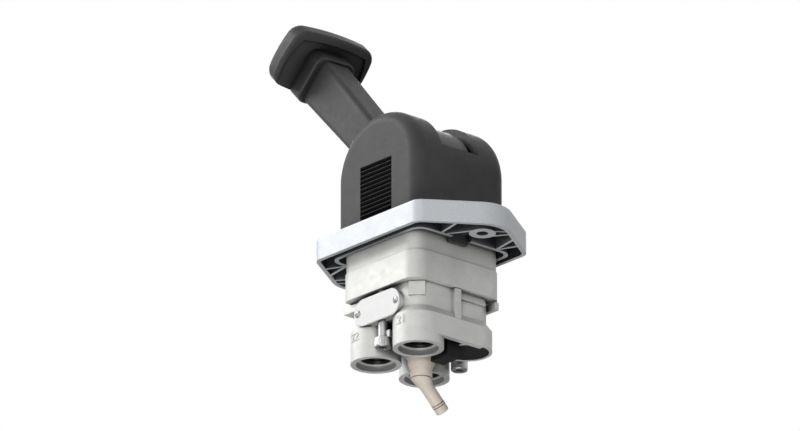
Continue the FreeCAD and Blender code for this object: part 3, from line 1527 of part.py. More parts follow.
def outside_stem(edge, half):
    """Whether an edge belongs to the outline of the grip and not to the stem under it."""
    box = edge.BoundBox
    beyond_sides = max(abs(box.YMin), abs(box.YMax)) > half + MARGIN
    beyond_high = box.XMin > value_of("handle_neck_high") + MARGIN
    beyond_low = box.XMax < -value_of("handle_neck_low") - MARGIN
    return beyond_sides or beyond_high or beyond_low


def draw_bulged_box(sketch, half_x, half_y, bulge, middle):
    """A box outline whose four sides bow outwards, centred at x = middle."""
    corners = [
        (f"{middle} + {half_x} - {bulge}", f"-({half_y} - {bulge})"),
        (f"{middle} + {half_x} - {bulge}", f"{half_y} - {bulge}"),
        (f"{middle} - {half_x} + {bulge}", f"{half_y} - {bulge}"),
        (f"{middle} - {half_x} + {bulge}", f"-({half_y} - {bulge})"),
    ]
    crests = [
        (f"{middle} + {half_x}", "0"),
        (middle, half_y),
        (f"{middle} - {half_x}", "0"),
        (middle, f"-({half_y})"),
    ]
    first = sketch.GeometryCount
    for index in range(4):
        start = place(*corners[index])
        end = place(*corners[(index + 1) % 4])
        sketch.addGeometry(Part.Arc(start, place(*crests[index]), end), False)
    for index in range(4):
        after = first + (index + 1) % 4
        sketch.addConstraint(Sketcher.Constraint("Coincident", first + index, 2, after, 1))
    for index, (x, y) in enumerate(corners):
        pin_point(sketch, first + index, 1, x, y)
    half_chord_x = f"({half_x} - {bulge})"
    half_chord_y = f"({half_y} - {bulge})"
    for index, half_chord in enumerate([half_chord_y, half_chord_x, half_chord_y, half_chord_x]):
        bind(sketch, "Radius", first + index,
             size=f"({half_chord} * {half_chord} + {bulge} * {bulge}) / (2 * {bulge})")


# Pieces on the valve axis

BLOCK_TOP = "(-housing_bottom + joint_depth - gasket_thickness)"
PISTON_FOOT = f"({BLOCK_TOP} + piston_clearance)"
PISTON_TOP = f"({PISTON_FOOT} + piston_height)"
PLATE_FOOT = f"({PISTON_TOP} + main_spring_length)"
SEAT_TOP = f"({BLOCK_TOP} - stem_guide_depth - delivery_chamber_depth)"
SEAT_FOOT = f"({SEAT_TOP} - seat_height)"
INLET_TOP = f"({SEAT_FOOT} - inlet_lift - seat_gap)"
INLET_BACK = f"({INLET_TOP} - inlet_seal_height - inlet_disc_height)"
CHAMBER_FLOOR = f"({SEAT_FOOT} - inlet_chamber_depth)"


def build_plunger():
    top = "pivot_height - cam_radius - plunger_travel / 2 - cam_gap"
    return revolved("plunger", [
        ("0", top),
        ("plunger_radius", top),
        ("plunger_radius", f"{PLATE_FOOT} + plunger_plate_height"),
        ("plunger_plate_radius", f"{PLATE_FOOT} + plunger_plate_height"),
        ("plunger_plate_radius", PLATE_FOOT),
        ("plunger_spigot_radius", PLATE_FOOT),
        ("plunger_spigot_radius", f"{PLATE_FOOT} - plunger_spigot_height"),
        ("0", f"{PLATE_FOOT} - plunger_spigot_height"),
    ])


def build_piston():
    """The balance piston with its seal groove, spring recess and solid stem."""
    edge = "spring_bore_radius - guide_relief"
    groove_floor = "spring_bore_radius - sliding_gap - 2 * piston_seal_section"
    middle = f"({PISTON_TOP} - piston_recess)"
    half = "piston_seal_section"
    return revolved("balance_piston", [
        ("0", PISTON_TOP),
        (edge, PISTON_TOP),
        (edge, f"{middle} + {half}"),
        (groove_floor, f"{middle} + {half}"),
        (groove_floor, f"{middle} - {half}"),
        (edge, f"{middle} - {half}"),
        (edge, PISTON_FOOT),
        ("return_spring_radius + return_spring_wire", PISTON_FOOT),
        ("return_spring_radius + return_spring_wire", f"{PISTON_FOOT} + seat_gap"),
        ("stem_radius", f"{PISTON_FOOT} + seat_gap"),
        ("stem_radius", f"{INLET_TOP} + seat_gap"),
        ("0", f"{INLET_TOP} + seat_gap"),
    ])


def build_piston_seal():
    return ring_of("piston_seal", "spring_bore_radius - sliding_gap - piston_seal_section",
                   "piston_seal_section - seal_ease", f"{PISTON_TOP} - piston_recess")


def build_stem_seal():
    return ring_of("stem_seal", "stem_radius + sliding_gap + stem_seal_section",
                   "stem_seal_section - seal_ease", f"{BLOCK_TOP} - stem_seal_depth")


def build_plunger_seal():
    return ring_of("plunger_seal", "plunger_radius + sliding_gap + stem_seal_section",
                   "stem_seal_section - seal_ease", "plunger_seal_height")


def build_valve_seat():
    return revolved("valve_seat", [
        ("seat_bore", SEAT_TOP),
        ("seat_radius", SEAT_TOP),
        ("seat_radius", SEAT_FOOT),
        ("seat_bore", SEAT_FOOT),
    ])


def build_inlet_seal():
    return revolved("inlet_seal", [
        ("inlet_bore", INLET_TOP),
        ("inlet_radius", INLET_TOP),
        ("inlet_radius", f"{INLET_TOP} - inlet_seal_height"),
        ("inlet_bore", f"{INLET_TOP} - inlet_seal_height"),
    ])


def build_inlet_valve():
    return revolved("inlet_valve", [
        ("inlet_bore", f"{INLET_TOP} - inlet_seal_height"),
        ("inlet_radius", f"{INLET_TOP} - inlet_seal_height"),
        ("inlet_radius", INLET_BACK),
        ("inlet_tail_radius", INLET_BACK),
        ("inlet_tail_radius", f"{INLET_BACK} - inlet_tail_height"),
        ("inlet_bore", f"{INLET_BACK} - inlet_tail_height"),
    ])


def build_graduating_spring():
    return helical_spring("graduating_spring", "main_spring_radius", "main_spring_wire",
                          "main_spring_turns", PISTON_TOP, "main_spring_length")


def build_return_spring():
    return helical_spring("return_spring", "return_spring_radius", "return_spring_wire",
                          "return_spring_turns", BLOCK_TOP, "piston_clearance")


def build_inlet_spring():
    return helical_spring("inlet_spring", "inlet_spring_radius", "inlet_spring_wire",
                          "inlet_spring_turns", CHAMBER_FLOOR, f"{INLET_BACK} - {CHAMBER_FLOOR}")


def build_latch_spring():
    body = helical_spring("latch_spring", "latch_collar_radius - latch_spring_wire / 2",
                          "latch_spring_wire", "latch_spring_turns", "latch_collar_top",
                          "latch_spring_length")
    stand_on_lever(body)
    return body


BUILDERS = [
    build_flange, build_cover, build_upper_housing, build_port_block,
    build_gasket, build_body_screws, build_flange_screws, build_label_plate, build_rivets,
    build_elbow, build_silencer,
    build_bushes, build_axle, build_clips, build_cam, build_drum,
    build_lever_core, build_latch_rod, build_latch_pin, build_latch_spring, build_handle,
    build_plunger, build_plunger_seal, build_graduating_spring,
    build_piston, build_piston_seal, build_return_spring, build_stem_seal,
    build_valve_seat, build_inlet_seal, build_inlet_valve, build_inlet_spring,
]


def check_document():
    """Stop if any object failed or any sub-part is empty or not valid."""
    doc.recompute()
    failed = [item.Label for item in doc.Objects if "Invalid" in item.State or "Error" in item.State]
    if failed:
        raise ValueError("failed objects: " + ", ".join(failed))


def export_pieces(pieces):
    for piece in pieces:
        if piece.Shape.isNull() or not piece.Shape.isValid():
            raise ValueError(piece.Label + " has no valid shape")
    for piece in pieces:
        piece.Shape.exportStep(os.path.join("parts", piece.Label + ".step"))


pieces = [build() for build in BUILDERS]
check_document()
export_pieces(pieces)
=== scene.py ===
import logging
import math
from dataclasses import dataclass, field
from enum import Enum

import bmesh
import bpy
from mathutils import Matrix, Vector


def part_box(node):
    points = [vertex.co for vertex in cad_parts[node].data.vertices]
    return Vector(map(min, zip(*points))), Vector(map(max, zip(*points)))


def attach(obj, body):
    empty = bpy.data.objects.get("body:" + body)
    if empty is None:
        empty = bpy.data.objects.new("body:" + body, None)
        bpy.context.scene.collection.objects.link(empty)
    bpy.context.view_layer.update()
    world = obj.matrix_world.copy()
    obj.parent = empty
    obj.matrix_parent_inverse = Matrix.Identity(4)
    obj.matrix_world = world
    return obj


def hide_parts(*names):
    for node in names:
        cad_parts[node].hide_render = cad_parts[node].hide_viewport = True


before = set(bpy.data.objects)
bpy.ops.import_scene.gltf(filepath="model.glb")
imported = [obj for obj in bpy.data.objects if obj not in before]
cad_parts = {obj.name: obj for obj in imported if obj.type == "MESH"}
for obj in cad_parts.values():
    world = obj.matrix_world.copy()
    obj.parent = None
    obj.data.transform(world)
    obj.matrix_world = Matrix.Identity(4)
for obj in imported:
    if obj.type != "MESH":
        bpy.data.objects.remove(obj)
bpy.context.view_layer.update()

LOG = logging.getLogger("parking_brake_valve")
MM = 0.001
FULL_TURN = 2.0 * math.pi
WHITE = (1.0, 1.0, 1.0)
Point = tuple[float, float, float]
Ring = list[Vector]
Socket = bpy.types.NodeSocket


class Hue(Enum):
    """Base colours of the object's materials, as linear red, green and blue."""

    BLACK_MOULDING = (0.076, 0.076, 0.077)
    SMOOTH_BLACK = (0.045, 0.045, 0.046)
    INSERT_BLACK = (0.022, 0.022, 0.023)
    SILVER_PAINT = (0.620, 0.642, 0.670)
    CAST_ALUMINIUM = (0.720, 0.726, 0.700)
    MACHINED_ALUMINIUM = (0.860, 0.860, 0.850)
    # Painted shade on the ports' walls.
    BORE_WALL_SHADE = (0.360, 0.365, 0.355)
    ZINC = (0.500, 0.505, 0.505)
    DARK_STEEL = (0.260, 0.260, 0.265)
    TURNED_STEEL = (0.480, 0.480, 0.480)
    BRASS = (0.620, 0.450, 0.180)
    BRONZE = (0.420, 0.280, 0.130)
    RUBBER = (0.015, 0.015, 0.015)
    BEIGE_MOULDING = (0.890, 0.810, 0.690)
    PLATE_WHITE = (0.950, 0.950, 0.945)


def tint(colour: Point, factor: float, lift: float = 0.0) -> Point:
    """Make a colour lighter or darker, and hold it at white."""
    return tuple(min(1.0, channel * factor + lift) for channel in colour)


class Tree:
    """A node tree, with short calls that add and link its nodes."""

    def __init__(self, tree: bpy.types.NodeTree) -> None:
        """Take the tree of a material or a world, and empty it."""
        self.tree = tree
        self.tree.nodes.clear()

    def add(self, kind: str) -> bpy.types.Node:
        """Add a node of a kind to the tree and return it."""
        return self.tree.nodes.new(kind)

    def link(self, start: Socket, end: Socket) -> None:
        """Link an output socket to an input socket."""
        self.tree.links.new(start, end)

    def spread(self, value: Socket, low: float, high: float, start: float = 0.3,
               end: float = 0.7) -> Socket:
        """Map a range of a value to another range, held at its ends.

        Args:
            value: the value to map.
            low: what start becomes.
            high: what end becomes.
            start: the first end of the value's range.
            end: the other end of the value's range.

        Returns:
            The mapped value.
        """
        node = self.add("ShaderNodeMapRange")
        for name, number in (("From Min", start), ("From Max", end),
                             ("To Min", low), ("To Max", high)):
            node.inputs[name].default_value = number
        self.link(value, node.inputs["Value"])
        return node.outputs["Result"]

    def maths(self, operation: str, first: Socket, second: Socket | float = 0.0) -> Socket:
        """Work out one arithmetic step on sockets or plain numbers.

        Args:
            operation: the step, as the Math node names it.
            first: the value that it starts from.
            second: the value or number that it takes in.

        Returns:
            The result.
        """
        node = self.add("ShaderNodeMath")
        node.operation = operation
        self.link(first, node.inputs[0])
        if isinstance(second, (int, float)):
            node.inputs[1].default_value = second
        else:
            self.link(second, node.inputs[1])
        return node.outputs[0]

    def all_of(self, first: Socket, *others: Socket) -> Socket:
        """Multiply masks, which leaves the places that lie in all of them.

        Args:
            first: one mask, of 0 and 1.
            others: the other masks.

        Returns:
            The mask that they have in common.
        """
        for other in others:
            first = self.maths("MULTIPLY", first, other)
        return first

    def blend(self, share: Socket, first: Socket | Point, second: Socket | Point) -> Socket:
        """Mix two colours, each a socket or a plain colour.

        Args:
            share: how much of the second colour shows, from 0 to 1.
            first: the colour at 0.
            second: the colour at 1.

        Returns:
            The mixed colour.
        """
        node = self.add("ShaderNodeMix")
        node.data_type = "RGBA"
        self.link(share, node.inputs["Factor"])
        for socket, colour in ((node.inputs[6], first), (node.inputs[7], second)):
            if isinstance(colour, tuple):
                socket.default_value = (*colour, 1.0)
            else:
                self.link(colour, socket)
        return node.outputs[2]

    def apart(self, vector: Socket) -> tuple[Socket, ...]:
        """Take a vector apart.

        Args:
            vector: a place or a direction.

        Returns:
            Its x, y and z.
        """
        node = self.add("ShaderNodeSeparateXYZ")
        self.link(vector, node.inputs[0])
        return node.outputs[0], node.outputs[1], node.outputs[2]


class Bench(Tree):
    """A material in the making, with the effects that the finishes share."""

    EDGE_SAMPLES: int = 4
    OPENNESS_SAMPLES: int = 8
    HIGHLIGHT_UP_TO: float = 0.75
    WHOLE_FROM: float = 0.995

    def __init__(self, name: str) -> None:
        """Start a material with a principled shader.

        Args:
            name: the material's name.
        """
        self.material = bpy.data.materials.new(name)
        self.material.use_nodes = True
        super().__init__(self.material.node_tree)
        self.output = self.add("ShaderNodeOutputMaterial")
        self.shader = self.add("ShaderNodeBsdfPrincipled")
        self.link(self.shader.outputs["BSDF"], self.output.inputs["Surface"])
        self.place = self.add("ShaderNodeTexCoord").outputs["Object"]

    def noise(self, grain: float, detail: float = 3.0, stretch: Point = WHITE) -> Socket:
        """Add noise in the piece's own space.

        Args:
            grain: width of one grain in metres.
            detail: how many finer layers lie on it.
            stretch: how much closer the grains lie along each axis.

        Returns:
            The noise value, from 0 to 1.
        """
        scaled = self.add("ShaderNodeVectorMath")
        scaled.operation = "MULTIPLY"
        scaled.inputs[1].default_value = stretch
        self.link(self.place, scaled.inputs[0])
        node = self.add("ShaderNodeTexNoise")
        node.inputs["Scale"].default_value = 1.0 / grain
        node.inputs["Detail"].default_value = detail
        self.link(scaled.outputs[0], node.inputs["Vector"])
        return node.outputs["Fac"]

    def soft_edges(self, radius: float) -> Socket:
        """Round the piece's edges for the light alone.

        Args:
            radius: how wide the rounding is, in metres.

        Returns:
            The rounded normal.
        """
        node = self.add("ShaderNodeBevel")
        node.samples = self.EDGE_SAMPLES
        node.inputs["Radius"].default_value = radius
        return node.outputs["Normal"]

    def painted_recess_shade(self, colour: Socket, dark: Point, reach: float, closed: float,
                 free: float) -> Socket:
        """Paint shade into the places that lie deep between other faces.

        Args:
            colour: the colour on free faces.
            dark: the painted shade's colour deep inside.
            reach: how far the neighbouring faces count, in metres.
            closed: the open share of a point's surroundings that is still fully dark.
            free: the open share from which the point has its own colour.

        Returns:
            The shaded colour.
        """
        # Painted shade: ambient occlusion darkens the colour in recesses.
        node = self.add("ShaderNodeAmbientOcclusion")
        node.samples = self.OPENNESS_SAMPLES
        node.inputs["Distance"].default_value = reach
        openness = self.spread(node.outputs["AO"], 0.0, 1.0, closed, free)
        return self.blend(openness, dark, colour)

    def painted_edge_highlights(self, colour: Socket, rounded: Socket, bright: Point, share: float) -> Socket:
        """Paint a highlight along the edges, brightest on the sharpest edge.

        Args:
            colour: the colour on the faces.
            rounded: the normal with rounded edges, which tells where the edges are.
            bright: the colour of the painted edge highlights.
            share: how much of that colour shows on the sharpest edge.

        Returns:
            The colour with its worn edges.
        """
        # Painted highlight: edges found from the rounded normal are brightened.
        true_normal = self.add("ShaderNodeNewGeometry").outputs["Normal"]
        node = self.add("ShaderNodeVectorMath")
        node.operation = "DOT_PRODUCT"
        self.link(true_normal, node.inputs[0])
        self.link(rounded, node.inputs[1])
        edge = self.spread(node.outputs["Value"], 1.0, 0.0, self.HIGHLIGHT_UP_TO, self.WHOLE_FROM)
        return self.blend(self.maths("MULTIPLY", edge, share), colour, bright)

    def bump(self, height: Socket, depth: float, strength: float, normal: Socket) -> Socket:
        """Raise the surface by a height value.

        Args:
            height: the value from 0 to 1.
            depth: what a value of 1 stands for, in metres.
            strength: how much of it shows.
            normal: the normal it starts from.

        Returns:
            The new normal.
        """
        node = self.add("ShaderNodeBump")
        node.inputs["Strength"].default_value = strength
        node.inputs["Distance"].default_value = depth
        self.link(height, node.inputs["Height"])
        self.link(normal, node.inputs["Normal"])
        return node.outputs["Normal"]

    def drive(self, **sockets: Socket) -> None:
        """Link values to the shader's inputs, named with _ for a space."""
        for name, socket in sockets.items():
            self.link(socket, self.shader.inputs[name.replace("_", " ")])

    def fix(self, name: str, value: float) -> None:
        """Set one of the shader's own inputs to a number."""
        self.shader.inputs[name].default_value = value


@dataclass(frozen=True)
class MouldedPlastic:
    """Injection-moulded plastic with a fine eroded grain and painted highlights along its edges.

    The painted edge highlights have the factor and lift of edge_tint. Painted shade darkens
    recesses over recess_range, the open shares of a point's surroundings that count as closed and
    as free.
    """

    name: str
    hue: Hue
    roughness: float = 0.46
    smoother: float = 0.05
    rougher: float = 0.06
    patch: float = 2.5 * MM
    grain: float = 0.35 * MM
    grain_depth: float = 0.03 * MM
    grain_strength: float = 0.55
    edge: float = 0.35 * MM
    highlight_share: float = 0.5
    edge_tint: tuple[float, float] = (1.5, 0.004)
    cloud: float = 9.0 * MM
    mottle: float = 0.16
    mottle_lift: float = 0.001
    gloss: float = 0.4
    recess: float = 4.0 * MM
    recess_shade: float = 0.12
    recess_range: tuple[float, float] = (0.40, 0.92)

    def material(self) -> bpy.types.Material:
        """Build the material.

        Returns:
            The new material.
        """
        bench = Bench(self.name)
        base = self.hue.value
        rounded = bench.soft_edges(self.edge)
        cloud = bench.spread(bench.noise(self.cloud, 4.0), 0.0, 1.0)
        colour = bench.blend(cloud, base, tint(base, 1.0 + self.mottle, self.mottle_lift))
        # Painted highlight along the edges.
        colour = bench.painted_edge_highlights(colour, rounded, tint(base, *self.edge_tint), self.highlight_share)
        # Painted shade in recesses.
        colour = bench.painted_recess_shade(colour, tint(base, self.recess_shade), self.recess,
                                *self.recess_range)
        colour = self.local_colour(bench, colour)
        fine = bench.noise(self.grain, 2.0)
        sheen = bench.spread(bench.noise(self.patch), self.roughness - self.smoother,
                             self.roughness + self.rougher)
        normal = bench.bump(fine, self.grain_depth, self.grain_strength, rounded)
        bench.drive(Base_Color=colour, Roughness=sheen, Normal=normal)
        bench.fix("Specular IOR Level", self.gloss)
        return bench.material

    def local_colour(self, bench: Bench, colour: Socket) -> Socket:
        """Leave the colour as it is, where no part of the piece differs from the rest."""
        return colour


@dataclass(frozen=True)
class LouvredPlastic(MouldedPlastic):
    """The cover's moulding, with painted shade over its field of thin louvres.

    The louvres' field is half_width wide to each side of the middle and height high, from start
    above the flange, on the face that lies beyond face.
    """

    half_width: float = 11.85 * MM
    start: float = 1.5 * MM
    height: float = 30.8 * MM
    face: float = -27.0 * MM
    louvre_shade: float = 0.22

    def local_colour(self, bench: Bench, colour: Socket) -> Socket:
        """Paint shade over the field of louvres on the cover's near face.

        Args:
            bench: the material being built.
            colour: the colour everywhere else.

        Returns:
            The new colour.
        """
        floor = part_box("mounting_flange")[1][2] + self.start
        x, y, z = bench.apart(bench.place)
        # Painted shade: a mask of the louvres' field, which is darkened.
        louvres = bench.all_of(
            bench.maths("LESS_THAN", bench.maths("ABSOLUTE", x), self.half_width),
            bench.maths("LESS_THAN", y, self.face),
            bench.maths("GREATER_THAN", z, floor),
            bench.maths("LESS_THAN", z, floor + self.height))
        return bench.blend(louvres, colour, tint(self.hue.value, self.louvre_shade))


@dataclass(frozen=True)
class PaintedCasting:
    """Satin silver paint over a die casting, with a fine sparkle and a little orange peel."""

    name: str
    hue: Hue
    sparkle: float = 0.30 * MM
    sparkle_tint: float = 1.22
    sparkle_range: tuple[float, float] = (0.35, 0.65)
    sparkle_depth: float = 0.012 * MM
    sparkle_strength: float = 0.5
    peel: float = 1.6 * MM
    peel_depth: float = 0.05 * MM
    peel_strength: float = 0.35
    edge: float = 0.5 * MM
    edge_tint: float = 1.3
    highlight_share: float = 0.6
    recess: float = 18.0 * MM
    recess_shade: float = 0.06
    recess_range: tuple[float, float] = (0.40, 0.90)
    patch: float = 4.0 * MM
    roughness: tuple[float, float] = (0.44, 0.56)
    metallic: float = 0.25
    gloss: float = 0.3

    def material(self) -> bpy.types.Material:
        """Build the material.

        Returns:
            The new material.
        """
        bench = Bench(self.name)
        base = self.hue.value
        rounded = bench.soft_edges(self.edge)
        flakes = bench.spread(bench.noise(self.sparkle, 2.0), 0.0, 1.0, *self.sparkle_range)
        colour = bench.blend(flakes, base, tint(base, self.sparkle_tint))
        # Painted highlight along the edges.
        colour = bench.painted_edge_highlights(colour, rounded, tint(base, self.edge_tint), self.highlight_share)
        # Painted shade in recesses.
        colour = bench.painted_recess_shade(colour, tint(base, self.recess_shade), self.recess,
                                *self.recess_range)
        sheen = bench.spread(bench.noise(self.patch), *self.roughness)
        normal = bench.bump(bench.noise(self.peel), self.peel_depth, self.peel_strength, rounded)
        normal = bench.bump(flakes, self.sparkle_depth, self.sparkle_strength, normal)
        bench.drive(Base_Color=colour, Roughness=sheen, Normal=normal)
        bench.fix("Metallic", self.metallic)
        bench.fix("Specular IOR Level", self.gloss)
        return bench.material


@dataclass(frozen=True)
class BlastedCasting:
    """Shot-blasted aluminium, with bright turned faces and bores round the ports, painted shade
    on the ports' walls and painted dark shade deep in the threaded bores.

    level_below and upright_above are limits of the normal's upward part, for the faces that look
    straight down and for the ports' walls.
    """

    name: str
    cloud: float = 11.0 * MM
    cloud_tint: float = 1.16
    grain: float = 0.45 * MM
    grain_tint: float = 0.86
    grain_share: float = 0.45
    grain_range: tuple[float, float] = (0.36, 0.60)
    grain_depth: float = 0.035 * MM
    grain_strength: float = 0.55
    lump: float = 1.8 * MM
    lump_depth: float = 0.06 * MM
    lump_strength: float = 0.30
    edge: float = 0.45 * MM
    edge_tint: float = 1.3
    highlight_share: float = 0.45
    patch: float = 3.0 * MM
    roughness: tuple[float, float] = (0.50, 0.64)
    machined_roughness: float = 0.30
    metallic: float = 0.30
    recess: float = 12.0 * MM
    recess_shade: float = 0.05
    recess_range: tuple[float, float] = (0.20, 0.62)
    port_spread: float = 16.0 * MM
    machined_radius: float = 10.6 * MM
    machined_below: float = -50.4 * MM
    bores_below: float = -39.0 * MM
    level_below: float = -0.995
    upright_above: float = -0.3
    cut_pitch: float = 0.30 * MM
    cut_depth: float = 0.012 * MM
    cut_strength: float = 0.6
    counterbore: float = 10.2 * MM
    bore_radius: float = 8.3 * MM
    bore_range: tuple[float, float] = (-53.6 * MM, -53.2 * MM)
    bore_shade: Point = (0.012, 0.012, 0.012)

    def material(self) -> bpy.types.Material:
        """Build the material.

        Returns:
            The new material.
        """
        bench = Bench(self.name)
        cast = Hue.CAST_ALUMINIUM.value
        rounded = bench.soft_edges(self.edge)
        cloud = bench.spread(bench.noise(self.cloud, 5.0), 0.0, 1.0)
        grain = bench.noise(self.grain)
        colour = bench.blend(cloud, cast, tint(cast, self.cloud_tint))
        pits = bench.spread(grain, self.grain_share, 0.0, *self.grain_range)
        colour = bench.blend(pits, colour, tint(cast, self.grain_tint))
        machined, walls, rings, deep = self._machined(bench)
        colour = bench.blend(machined, colour, Hue.MACHINED_ALUMINIUM.value)
        # Painted shade on the ports' walls.
        colour = bench.blend(walls, colour, Hue.BORE_WALL_SHADE.value)
        # Painted highlight along the edges.
        colour = bench.painted_edge_highlights(colour, rounded, tint(cast, self.edge_tint), self.highlight_share)
        # Painted shade in recesses.
        colour = bench.painted_recess_shade(colour, tint(cast, self.recess_shade), self.recess,
                                *self.recess_range)
        # Painted shade deep in the threaded bores.
        colour = bench.blend(deep, colour, self.bore_shade)
        blasted = bench.spread(bench.noise(self.patch), *self.roughness)
        sheen = bench.add("ShaderNodeMix")
        bench.link(machined, sheen.inputs["Factor"])
        bench.link(blasted, sheen.inputs[2])
        sheen.inputs[3].default_value = self.machined_roughness
        normal = bench.bump(bench.noise(self.lump, 4.0), self.lump_depth, self.lump_strength,
                            rounded)
        normal = bench.bump(grain, self.grain_depth, self.grain_strength, normal)
        normal = bench.bump(bench.maths("MULTIPLY", rings, machined), self.cut_depth,
                            self.cut_strength, normal)
        bench.drive(Base_Color=colour, Roughness=sheen.outputs[0], Normal=normal)
        bench.fix("Metallic", self.metallic)
        return bench.material

    def _machined(self, bench: Bench) -> tuple[Socket, ...]:
        """Tell where the tool has cut, the marks that it left, and where shade is painted in the
        ports.

        Args:
            bench: the material being built.

        Returns:
            A mask of all cut metal, a mask of the ports' walls for painted shade, the height of
            the turned rings about the nearest port, and the painted shade of the threaded bores
            from 0 at their mouths to 1 inside.
        """
        x, y, z = bench.apart(bench.place)
        across = bench.maths("SUBTRACT", bench.maths("ABSOLUTE", x), self.port_spread)
        along = bench.maths("SUBTRACT", bench.maths("ABSOLUTE", y), self.port_spread)
        reach = bench.maths("SQRT", bench.maths("ADD", bench.maths("MULTIPLY", across, across),
                                                bench.maths("MULTIPLY", along, along)))
        bores = bench.all_of(bench.maths("LESS_THAN", reach, self.machined_radius),
                             bench.maths("LESS_THAN", z, self.bores_below))
        facing = bench.apart(bench.add("ShaderNodeNewGeometry").outputs["True Normal"])[2]
        faces = bench.all_of(bench.maths("LESS_THAN", facing, self.level_below),
                             bench.maths("LESS_THAN", z, self.machined_below))
        mask = bench.maths("MAXIMUM", bores, faces)
        # Mask of the ports' walls, which get painted shade.
        walls = bench.all_of(bores, bench.maths("GREATER_THAN", facing, self.upright_above),
                             bench.maths("LESS_THAN", reach, self.counterbore))
        wave = bench.maths("SINE", bench.maths("MULTIPLY", reach, FULL_TURN / self.cut_pitch))
        # Painted shade: the threaded bores darken from their mouths inwards.
        deep = bench.all_of(bench.maths("LESS_THAN", reach, self.bore_radius),
                            bench.spread(z, 0.0, 1.0, *self.bore_range))
        return mask, walls, wave, deep


@dataclass(frozen=True)
class TurnedMetal:
    """Plated or turned metal with fine tool marks round its axis."""

    name: str
    hue: Hue
    roughness: float = 0.30
    smoother: float = 0.05
    rougher: float = 0.08
    metallic: float = 0.85
    cloud: float = 3.0 * MM
    cloud_tint: float = 0.82
    mark: float = 0.25 * MM
    mark_stretch: Point = (0.25, 0.25, 2.0)
    mark_depth: float = 0.01 * MM
    mark_strength: float = 0.4
    edge: float = 0.2 * MM
    recess: float = 2.5 * MM
    recess_shade: float = 0.08
    recess_range: tuple[float, float] = (0.25, 0.80)

    def material(self) -> bpy.types.Material:
        """Build the material.

        Returns:
            The new material.
        """
        bench = Bench(self.name)
        base = self.hue.value
        rounded = bench.soft_edges(self.edge)
        cloud = bench.spread(bench.noise(self.cloud, 4.0), 0.0, 1.0)
        colour = bench.blend(cloud, base, tint(base, self.cloud_tint))
        # Painted shade in recesses.
        colour = bench.painted_recess_shade(colour, tint(base, self.recess_shade), self.recess,
                                *self.recess_range)
        marks = bench.noise(self.mark, 2.0, self.mark_stretch)
        sheen = bench.spread(marks, self.roughness - self.smoother,
                             self.roughness + self.rougher)
        normal = bench.bump(marks, self.mark_depth, self.mark_strength, rounded)
        bench.drive(Base_Color=colour, Roughness=sheen, Normal=normal)
        bench.fix("Metallic", self.metallic)
        return bench.material


@dataclass(frozen=True)
class PrintedPlate:
    """White lacquered plate with a faint orange peel."""

    name: str
    hue: Hue
    edge: float = 0.2 * MM
    cloud: float = 5.0 * MM
    cloud_tint: float = 0.95
    peel: float = 0.9 * MM
    peel_depth: float = 0.02 * MM
    peel_strength: float = 0.3
    patch: float = 2.0 * MM
    roughness: tuple[float, float] = (0.34, 0.44)

    def material(self) -> bpy.types.Material:
        """Build the material.

        Returns:
            The new material.
        """
        bench = Bench(self.name)
        base = self.hue.value
        rounded = bench.soft_edges(self.edge)
        cloud = bench.spread(bench.noise(self.cloud, 4.0), 0.0, 1.0)
        colour = bench.blend(cloud, base, tint(base, self.cloud_tint))
        normal = bench.bump(bench.noise(self.peel), self.peel_depth, self.peel_strength, rounded)
        sheen = bench.spread(bench.noise(self.patch), *self.roughness)
        bench.drive(Base_Color=colour, Roughness=sheen, Normal=normal)
        return bench.material


COVER_BLACK = LouvredPlastic("cover_moulding", Hue.BLACK_MOULDING, roughness=0.48, gloss=0.14)
HANDLE_BLACK = MouldedPlastic("handle_moulding", Hue.BLACK_MOULDING, roughness=0.44, gloss=0.12,
                              recess=16.0 * MM)
DRUM_BLACK = MouldedPlastic("drum_moulding", Hue.SMOOTH_BLACK, roughness=0.38,
                            grain_depth=0.012 * MM, gloss=0.3)
INSERT = MouldedPlastic("insert_moulding", Hue.INSERT_BLACK, roughness=0.52, grain=0.5 * MM,
                        gloss=0.08)
BEIGE = MouldedPlastic("beige_moulding", Hue.BEIGE_MOULDING, roughness=0.42, grain=0.6 * MM,
                       grain_depth=0.02 * MM, mottle=0.10, recess=0.8 * MM, recess_shade=0.10)
RUBBER = MouldedPlastic("seal_rubber", Hue.RUBBER, roughness=0.55, grain=0.2 * MM, gloss=0.3)
FIBRE = MouldedPlastic("gasket_fibre", Hue.RUBBER, roughness=0.8, grain=0.3 * MM,
                       grain_depth=0.06 * MM, gloss=0.2)
SILVER = PaintedCasting("silver_paint", Hue.SILVER_PAINT)
CASTING = BlastedCasting("blasted_aluminium")
ZINC = TurnedMetal("zinc_plate", Hue.ZINC, roughness=0.34)
STEEL = TurnedMetal("turned_steel", Hue.TURNED_STEEL)
WIRE = TurnedMetal("spring_wire", Hue.DARK_STEEL, roughness=0.34)
BRASS = TurnedMetal("turned_brass", Hue.BRASS, roughness=0.26)
BRONZE = TurnedMetal("sintered_bronze", Hue.BRONZE, roughness=0.48, mark=0.15 * MM)
PISTON = TurnedMetal("turned_aluminium", Hue.MACHINED_ALUMINIUM, roughness=0.28)
PLATE = PrintedPlate("plate_lacquer", Hue.PLATE_WHITE)

Finish = MouldedPlastic | PaintedCasting | BlastedCasting | TurnedMetal | PrintedPlate

